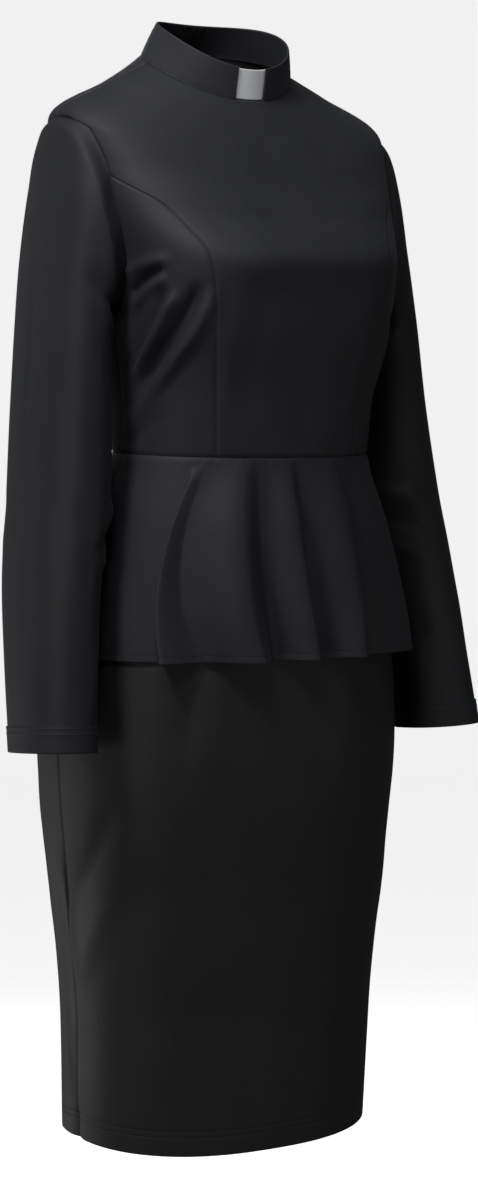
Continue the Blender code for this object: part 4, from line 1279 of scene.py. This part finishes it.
SKIRT_RINGS = (
    Ring(0.00, 132, -143, -48, 51, -400, -396, -394, 2.2, 2.2),
    Ring(0.12, 152, -150, -30, 92, -474, -474, -474, 2.4, 2.3),
    Ring(0.28, 172, -152, -10, 125, -574, -574, -574, 2.5, 2.4),
    Ring(0.45, 184, -148, 0, 142, -690, -690, -690, 2.5, 2.5),
    Ring(0.64, 172, -126, -2, 122, -850, -850, -850, 2.5, 2.5),
    Ring(0.82, 163, -114, 0, 114, -965, -965, -965, 2.5, 2.5),
    Ring(1.00, 160, -108, 4, 112, -1089, -1080, -1082, 2.4, 2.5),
)
SKIRT_CREASES = (
    # Vertical folds that come out from under the peplum
    Crease(((-40, -590), (-41, -660), (-42, -740)), 9, -2.6, 0.1, 0.6),
    Crease(((-31, -590), (-31, -690), (-33, -800)), 13, 2.0, 0.1, 0.6),
    Crease(((-50, -590), (-52, -680), (-56, -790)), 14, 1.8, 0.1, 0.6),
    Crease(((-8, -600), (-4, -680), (0, -760)), 16, -1.4, 0.1, 0.5),
    Crease(((26, -600), (22, -690), (20, -790)), 18, 1.2, 0.1, 0.5),
    # Pulls from the hip to the near side seam
    Crease(((-60, -720), (-76, -800), (-92, -862)), 12, -2.6),
    Crease(((-54, -760), (-72, -850), (-90, -930)), 14, 1.8),
    Crease(((-96, -760), (-91, -850), (-88, -930)), 6, 2.4),
    Crease(((-103, -800), (-97, -900), (-92, -985)), 6, -2.2),
    Crease(((-106, -880), (-98, -980), (-93, -1060)), 6, 2.2),
    Crease(((-118, -700), (-112, -800), (-106, -900)), 10, 1.6),
    # Pulls to the far side seam
    Crease(((62, -730), (76, -810), (90, -880)), 12, -2.2),
    Crease(((52, -770), (70, -860), (90, -940)), 14, 1.6),
    Crease(((98, -760), (92, -850), (88, -940)), 7, 2.0),
    Crease(((108, -860), (98, -970), (92, -1050)), 7, -1.8),
    # Lower front: broad soft hollows
    Crease(((-34, -900), (-38, -980), (-36, -1085)), 22, -1.4, 0.4, 0.15),
    Crease(((4, -860), (0, -970), (2, -1085)), 26, 1.1, 0.4, 0.15),
    Crease(((38, -900), (42, -990), (40, -1085)), 22, -1.2, 0.4, 0.15),
    # Back: drag lines under the seat and above the slit
    Crease(((110, -700), (136, -738), (168, -742)), 14, -2.2),
    Crease(((112, -760), (138, -800), (170, -806)), 14, 1.8),
    Crease(((116, -830), (142, -862), (172, -866)), 12, -1.4),
    Crease(((-112, -704), (-134, -744), (-168, -750)), 14, -2.0),
    Crease(((-114, -768), (-140, -806), (-170, -814)), 14, 1.9),
    Crease(((-116, -836), (-140, -870), (-171, -872)), 12, -1.5),
    Crease(((150, -880), (148, -980), (152, -1080)), 20, 1.3, 0.4, 0.15),
    Crease(((-148, -880), (-150, -980), (-150, -1080)), 20, 1.2, 0.4, 0.15),
    # Hem pinched at the side seams
    Crease(((-90, -1040), (-90, -1062), (-90, -1086)), 9, -2.4, 0.6, 0.05),
    Crease(((90, -1040), (90, -1062), (90, -1086)), 9, -2.0, 0.6, 0.05),
)


@dataclass(frozen=True)
class Flare:
    """Flare of the peplum, between angles at its top and hem, bowed by angles half way down."""

    top_from: float
    top_to: float
    low_from: float
    low_to: float
    bow_from: float
    bow_to: float
    height: float
    start: float
    lean: float
    steep: int


FRONT_FLARES = (
    Flare(-54.0, -46.0, -51.0, -37.5, -2.0, -7.2, 24, 0.05, -0.30, -1),
    Flare(-46.0, -20.0, -37.5, -9.5, -7.2, -0.6, 30, 0.00, 0.10, 1),
    Flare(-20.0, 3.0, -9.5, 7.5, -0.6, -0.5, 28, 0.00, 0.06, 1),
    Flare(3.0, 35.0, 7.5, 28.5, -0.5, 0.5, 26, 0.00, 0.04, 1),
    Flare(35.0, 65.0, 28.5, 64.0, 0.5, 0.0, 20, 0.00, 0.05, 1),
)
BACK_LEFT_FLARES = (
    Flare(103.0, 124.0, 101.0, 124.0, 0.0, 1.0, 19, 0.05, 0.10, 1),
    Flare(124.0, 148.0, 124.0, 147.0, 1.0, -1.0, 25, 0.00, -0.10, -1),
    Flare(148.0, 171.0, 147.0, 170.0, -1.0, 0.0, 22, 0.03, 0.08, 1),
)
BACK_RIGHT_FLARES = (
    Flare(-171.0, -146.0, -170.0, -148.0, 0.0, 1.5, 23, 0.02, -0.08, -1),
    Flare(-146.0, -125.0, -148.0, -122.0, 1.5, -1.0, 24, 0.00, 0.10, 1),
    Flare(-125.0, -101.0, -122.0, -102.0, -1.0, 0.0, 20, 0.06, -0.10, -1),
)


@dataclass
class Skirt:
    """Slim skirt: a front panel, and two backs with a short slit at the centre back."""

    form: Form = field(default_factory=lambda: Form(SKIRT_RINGS, SKIRT_CREASES, 2.9))
    step: float = 4.0
    hem: float = 27.0
    half_girth: float = 490.0
    slit_level: float = 0.84
    slit_spread: float = 2.2
    slit_reach: float = 12.0
    front_cut: Cut = Cut(0.56, 0.72, 0.350)
    back_cut: Cut = Cut(0.30, 0.72, 0.176)

    def patch(self, first: float, last: float, slit: Optional[Edge]) -> Patch:
        """Panel between two angles, with the lower part of one edge drawn aside where it has the slit."""
        fine = np.linspace(0, 1, 241)
        run = run_along(self.form.base(fine, (first + last) / 2))
        ends = [run[-1] - place for place in HEM_STITCHES]
        level = np.interp(stations(run[-1], self.step, ends), run, fine)
        angle = first + (last - first) * shares(self.half_girth * (last - first) / 180, self.step)
        patch = self.form.patch(level[:, None], angle[None])
        patch = patch.rolled((Edge.TOP, Edge.FIRST, Edge.LAST)).grooved(Edge.BOTTOM, HEM_STITCHES)
        if slit is None:
            return patch
        spread = self.slit_spread * smooth_step((level - self.slit_level) / (1 - self.slit_level))
        return patch.drawn_aside(slit, spread, self.slit_reach)

    def build(self, wardrobe: Wardrobe, stitching: Stitching) -> None:
        """Make the three panels and the hem's stitches."""
        panels = (("skirt_front", -90.0, 90.0, None, self.front_cut),
                  ("skirt_back_left", 90.0, 180.0, Edge.LAST, self.back_cut),
                  ("skirt_back_right", -180.0, -90.0, Edge.FIRST, self.back_cut))
        for name, first, last, slit, cut in panels:
            patch = self.patch(first, last, slit)
            for place in HEM_STITCHES:
                stitching.add("hem_stitches", patch.line_from(Edge.BOTTOM, place))
            lay_cloth(name, patch.hemmed(self.hem), wardrobe.skirt)


@dataclass
class Peplum:
    """Peplum: the skirt's form let out in flares, with a narrow turned hem."""

    form: Form = field(default_factory=lambda: Form(SKIRT_RINGS))
    end_level: float = 0.315
    standoff: float = 3.8
    extra_at_hem: float = 1.0
    rise: float = 0.64
    fall_from: float = 0.66
    fall: float = 0.28
    growth: float = 0.80
    soften: float = 2.4
    opening: float = 2.0
    opening_reach: float = 10.0
    length: float = 205.0
    arc: float = 3.0  # millimetres for each degree, at the hem
    least_width: float = 0.05
    pucker: float = 0.22
    step: float = 3.2
    hem: float = 7.0
    stitch_at: float = 5.6
    front_cut: Cut = Cut(0.74, 0.26, 0.112)
    back_cut: Cut = Cut(0.40, 0.26, 0.060)

    def columns(self, flares: Sequence[Flare], first: float, last: float) -> tuple[Array, Array]:
        """Columns of a panel.

        Between flares they are evenly spaced; across a flare a share runs from 0 to 1.

        Args:
            flares: The panel's flares.
            first: Angle of its first edge.
            last: Angle of its last edge.

        Returns:
            Rows of top angle, low angle and bow, and rows of share and the flare's number, or -1.
        """
        blocks, edge = [], np.array([first, first, 0.0])
        for number, flare in enumerate(flares):
            start = np.array([flare.top_from, flare.low_from, flare.bow_from])
            end = np.array([flare.top_to, flare.low_to, flare.bow_to])
            blocks.append(self.block(edge, start, -1))
            blocks.append(self.block(start, end, number))
            edge = end
        blocks.append(self.block(edge, np.array([last, last, 0.0]), -1))
        table = np.concatenate([*blocks, [[last, last, 0.0, 0.0, -1.0]]])
        return table[:, :3], table[:, 3:]

    def block(self, start: Array, end: Array, number: int) -> Array:
        """Columns from one place up to the next, closer together across a flare."""
        width = abs(end[1] - start[1]) * self.arc
        if width < self.least_width:
            return np.zeros((0, 5))
        count = max(3, int(round(width / self.step * (2.0 if number >= 0 else 1.0))))
        share = np.arange(count) / count
        place = start + (end - start) * share[:, None]
        return np.column_stack([place, share, np.full(count, float(number))])

    def patch(self, flares: Sequence[Flare], first: float, last: float, open_edge: Optional[Edge]) -> Patch:
        """Panel of the peplum.

        Across a flare the height is an ease of the share over the rise, times 1 less an ease over the fall,
        which is shorter and leaves a flat strip beside it. It grows towards the hem.
        Then each row is softened by a bell curve a few millimetres wide, so that valleys are round too.

        Args:
            flares: The panel's flares.
            first: Angle of its first edge.
            last: Angle of its last edge.
            open_edge: Edge at the centre back, which draws away towards the hem.

        Returns:
            The patch.
        """
        drop = shares(self.length, self.step, [self.length - self.stitch_at])
        place, flare_row = self.columns(flares, first, last)
        top, low, bow = (place[:, k][None] for k in range(3))
        share, number = flare_row[:, 0][None], flare_row[:, 1].astype(int)
        fall = drop[:, None]
        angle = top + (low - top) * fall + bow * 4 * fall * (1 - fall)
        values = [[f.height, f.start, f.lean, f.steep] for f in flares]
        picked = np.array([*values, [0.0, 0.0, 0.0, 1.0]])[number]
        grown = np.clip((fall - picked[:, 1]) / (1 - picked[:, 1]), 0.0, 1.0) ** self.growth
        across = np.where(picked[:, 3] > 0, share, 1 - share)
        rise = picked[:, 0] * grown * smooth_step(across / self.rise)
        rise = rise * (1 - smooth_step((across - self.fall_from) / self.fall))
        shift = picked[:, 2] * rise
        base = self.form.base(np.broadcast_to(fall * self.end_level, angle.shape), angle)
        out = self.standoff + self.extra_at_hem * fall + rise
        sideways = np.cross(np.array([0.0, 0.0, 1.0]), outward(angle))
        points = base + outward(angle) * out[..., None] + sideways * shift[..., None]
        points = self.softened(points)
        normals = unit(np.cross(np.gradient(points, axis=0), np.gradient(points, axis=1)))
        patch = Patch(points, normals).rolled((Edge.TOP, Edge.FIRST, Edge.LAST), pucker=self.pucker)
        if open_edge is not None:
            patch = patch.drawn_aside(open_edge, self.opening * drop, self.opening_reach)
        return patch.grooved(Edge.BOTTOM, (self.stitch_at,), FINE_GROOVE)

    def softened(self, points: Array) -> Array:
        """Each row averaged along itself by a bell curve, with its two ends kept."""
        run = run_along(points[-1])
        weight = np.exp(-((run[:, None] - run[None]) / self.soften) ** 2) * np.gradient(run)[None]
        edge = np.minimum(run, run[-1] - run)
        keep = smooth_step(edge / (2.5 * self.soften))[None, :, None]
        weight = weight / weight.sum(axis=1, keepdims=True)
        soft = np.einsum("ij,rjk->rik", weight, points)
        return points * (1 - keep) + soft * keep

    def build(self, wardrobe: Wardrobe, stitching: Stitching) -> None:
        """Make the three panels and their hem stitches."""
        panels = (("peplum_front", FRONT_FLARES, -90.0, 90.0, None, self.front_cut),
                  ("peplum_back_left", BACK_LEFT_FLARES, 90.0, 180.0, Edge.LAST, self.back_cut),
                  ("peplum_back_right", BACK_RIGHT_FLARES, -180.0, -90.0, Edge.FIRST, self.back_cut))
        for name, flares, first, last, opening, cut in panels:
            patch = self.patch(flares, first, last, opening)
            stitching.add("peplum_stitches", patch.line_from(Edge.BOTTOM, self.stitch_at))
            lay_cloth(name, patch.hemmed(self.hem), wardrobe.peplum)


# Zip


@dataclass
class Zip:
    """Concealed zip at the centre back: two tapes and a coil inside, a slider and its pull tab at the top."""

    bodice: Form
    collar: Form
    skirt: Form
    tape_across: tuple[float, ...] = (0.2, 1.2, 3.0, 5.0, 7.0, 9.0, 11.0, 12.0)
    tape_thickness: float = 0.6
    back_curve: float = 0.006  # bend of the back across the tape, in millimetres for each square millimetre
    inside: float = 2.0
    tape_cut: Cut = Cut(0.0135, 0.63, 0.0078)
    coil_pitch: float = 1.5
    coil_half: float = 2.2
    coil_gap: float = 0.9
    coil_arch: float = 0.6
    coil_radius: float = 0.42

    def spine(self) -> tuple[Array, Array]:
        """Centre-back line of the dress from the collar's top edge to the hip, and its outward normals."""
        parts = [(self.collar, np.linspace(0.96, 0.08, 14)), (self.bodice, np.linspace(0.015, 0.985, 110)),
                 (self.skirt, np.linspace(0.02, 0.26, 48))]
        points = np.concatenate([form.base(level, 180.0) for form, level in parts])
        normals = np.concatenate([form.normal(level, 180.0) for form, level in parts])
        return points, unit(normals * [0, 1, 1])

    def tape(self, side: Side) -> Patch:
        """Strip of tape inside the seam: the spine moved in and sideways."""
        points, normals = self.spine()
        across = np.array(self.tape_across)
        if side is Side.RIGHT:
            across = -across
            order = slice(None)
        else:
            order = slice(None, None, -1)
        offset = np.stack([across, -self.inside - self.back_curve * across ** 2, np.zeros_like(across)],
                          axis=-1)
        grid = points[:, None] + offset[None]
        return Patch(grid[:, order], np.broadcast_to(normals[:, None], grid.shape))

    def coil(self) -> tuple[Array, Array]:
        """Nylon coil behind the tapes: a row of short loops across the seam."""
        points, normals = self.spine()
        run = run_along(points)
        place = np.arange(2.0, run[-1] - 2.0, self.coil_pitch)
        up = unit(follow(place, run, normals))[:, None]
        across = np.array([1.0, 0.0, 0.0])
        s = np.array([-1.0, -0.75, 0.0, 0.75, 1.0])
        depth = self.inside + self.coil_gap + self.coil_arch * (1 - s ** 2)
        centres = (follow(place, run, points)[:, None] + across * (s * self.coil_half)[:, None]
                   - up * depth[:, None])
        return tubes(centres, up, np.cross(up, across), np.full(len(s), self.coil_radius))

    def build(self, wardrobe: Wardrobe, frame: Mapping[str, Any]) -> None:
        """Make the tapes and the coil, and give the slider and the pull their metal."""
        for side in Side:
            lay_cloth(f"zip_tape_{side.word}", self.tape(side), wardrobe.tape,
                      thickness=self.tape_thickness)
        points, faces = self.coil()
        place_object("zip_coil", build_mesh("zip_coil", points, faces), wardrobe.tape)
        for node in ("zip_slider", "zip_pull"):
            mesh = frame["nodes"][node].data
            mesh.materials.clear()
            mesh.materials.append(wardrobe.metal)
            LOG.info("%s: %d faces", node, len(mesh.polygons))


# Studio


@dataclass(frozen=True)
class Lamp:
    """Soft square lamp, placed from the camera's point of view."""

    name: str
    across: float  # metres to the camera's right of the dress
    ahead: float   # metres from the dress towards the camera
    z: float
    size: float
    watts: float
    aim_z: float = -0.5


LAMPS = (
    Lamp("key_high_left", -0.92, 1.24, 1.25, 0.45, 23.0),
    Lamp("high_front", -0.12, 1.60, 1.15, 0.6, 9.0),
    Lamp("fill_low_left", -1.20, 1.90, -0.98, 0.8, 5.6),
    Lamp("fill_low_right", 1.85, 1.25, -0.98, 0.8, 3.6),
    Lamp("top", -0.20, 0.40, 1.70, 0.6, 9.5),
    Lamp("rim_left", -1.79, -1.26, 0.21, 0.6, 1.2),
    Lamp("side_left", -2.10, 0.10, 0.20, 0.6, 1.5),
    Lamp("behind", -0.25, -2.60, 0.45, 1.2, 20.0),
    Lamp("edge_low_left", -1.75, -0.60, -1.30, 0.5, 6.0, aim_z=-1.0),
)


@dataclass
class Studio:
    """Pale floor and backdrop, soft lamps and the camera."""

    azimuth: float = -32.0
    distance: float = 2.9
    aside: float = 0.0242
    horizon: float = -0.348
    focal_px: float = 2900 / 1.03
    image: tuple[int, int] = (478, 1200)
    centre_px: tuple[float, float] = (239.5, 405.0)
    floor_z: float = -1.62

    def axes(self) -> tuple[Array, Array]:
        """Unit vectors from the dress towards the camera, and to the camera's right."""
        t = math.radians(self.azimuth)
        return np.array([math.sin(t), -math.cos(t), 0.0]), np.array([math.cos(t), math.sin(t), 0.0])

    def camera(self) -> None:
        """Level camera at the photograph's angle: the lens and shift set its frame of 478 by 1200."""
        back, right = self.axes()
        data = bpy.data.cameras.new("camera")
        data.sensor_fit = "VERTICAL"
        data.sensor_height = 24.0
        data.lens = self.focal_px / self.image[1] * data.sensor_height
        data.shift_x = (self.image[0] / 2 - self.centre_px[0]) / self.image[1]
        data.shift_y = (self.centre_px[1] - self.image[1] / 2) / self.image[1]
        data.clip_end = 50.0
        camera = bpy.data.objects.new("camera", data)
        camera.location = (*(back * self.distance + right * self.aside)[:2], self.horizon)
        camera.rotation_euler = Euler((math.radians(90), 0.0, math.radians(self.azimuth)))
        bpy.context.scene.collection.objects.link(camera)
        bpy.context.scene.camera = camera

    def lamp(self, lamp: Lamp) -> None:
        """Add an area lamp that is aimed at the dress.

        Args:
            lamp: Where it stands, its size and power.
        """
        back, right = self.axes()
        data = bpy.data.lights.new(lamp.name, "AREA")
        data.shape = "SQUARE"
        data.size = lamp.size
        data.energy = lamp.watts
        item = bpy.data.objects.new(lamp.name, data)
        item.visible_camera = False
        place = back * lamp.ahead + right * lamp.across + np.array([0.0, 0.0, lamp.z])
        aim = np.array([0.0, 0.0, lamp.aim_z]) - place
        flat = math.hypot(aim[0], aim[1])
        item.location = place
        item.rotation_euler = Euler((math.atan2(flat, -aim[2]), 0.0, math.atan2(-aim[0], aim[1])))
        bpy.context.scene.collection.objects.link(item)

    def backdrop(self) -> None:
        """Floor that curves up into a wall: a flat run, a quarter circle and a rise, all round."""
        radius, bend, top = 9.0, 2.4, 8.0
        turn = np.linspace(0, np.pi / 2, 14)
        r = np.concatenate([[0.001, 1.0, 2.2], radius - bend + bend * np.sin(turn), [radius]])[:, None]
        z = np.concatenate([[0.0, 0.0, 0.0], bend - bend * np.cos(turn), [top]])[:, None] + self.floor_z
        around = np.linspace(0, 2 * np.pi, 73)[:-1]
        points = np.stack(np.broadcast_arrays(r * np.cos(around), r * np.sin(around), z), axis=-1) / MM
        faces = quads(len(r), len(around), wrap=True)
        mesh = build_mesh("studio_floor", points.reshape(-1, 3), faces)
        floor = bpy.data.objects.new("studio_floor", mesh)
        bpy.context.scene.collection.objects.link(floor)
        nodes = NodeMaterial("matt_white_floor")
        noise = nodes.noise(nodes.on_object(), 3.0).outputs["Fac"]
        mesh.materials.append(nodes.closed({
            "Base Color": nodes.blend(noise, linear("F2F2F2"), linear("F6F6F6")), "Roughness": 0.9,
            "Emission Strength": 0.80, "Emission Color": (1.0, 1.0, 1.0, 1.0)}))
        floor.visible_diffuse = False
        floor.visible_glossy = False
        LOG.info("studio floor: %d faces", len(faces))

    def world(self, strength: float = 0.060) -> None:
        """Even pale light from all round."""
        world = bpy.data.worlds.new("studio")
        world.use_nodes = True
        background = world.node_tree.nodes["Background"].inputs
        background["Color"].default_value = (1.0, 1.0, 1.0, 1.0)
        background["Strength"].default_value = strength
        bpy.context.scene.world = world
        bpy.context.scene.view_settings.view_transform = "Standard"

    def build(self) -> None:
        """Set up the camera, lamps, floor and world."""
        self.camera()
        for lamp in LAMPS:
            self.lamp(lamp)
        self.backdrop()
        self.world()


def clear_scene() -> None:
    """Remove what the new file came with."""
    for item in list(bpy.data.objects):
        bpy.data.objects.remove(item, do_unlink=True)


def main() -> None:
    """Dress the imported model."""
    logging.basicConfig(level=logging.INFO, format="%(name)s: %(message)s")
    clear_scene()
    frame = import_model()
    wardrobe = Wardrobe()
    stitching = Stitching()
    bodice = Bodice()
    bodice.build(wardrobe)
    for side in Side:
        Sleeve(side, bodice.form).build(wardrobe, stitching)
    collar = Collar()
    collar.build(wardrobe, stitching)
    skirt = Skirt()
    skirt.build(wardrobe, stitching)
    Peplum().build(wardrobe, stitching)
    Zip(bodice.form, collar.form, skirt.form).build(wardrobe, frame)
    stitching.build(wardrobe.thread, {"cuff_stitches": "sleeve_cloth", "collar_stitches": "collar_cloth",
                                      "hem_stitches": "skirt_cloth", "peplum_stitches": "peplum_cloth"})
    Studio().build()


if __name__ == "__main__":
    main()
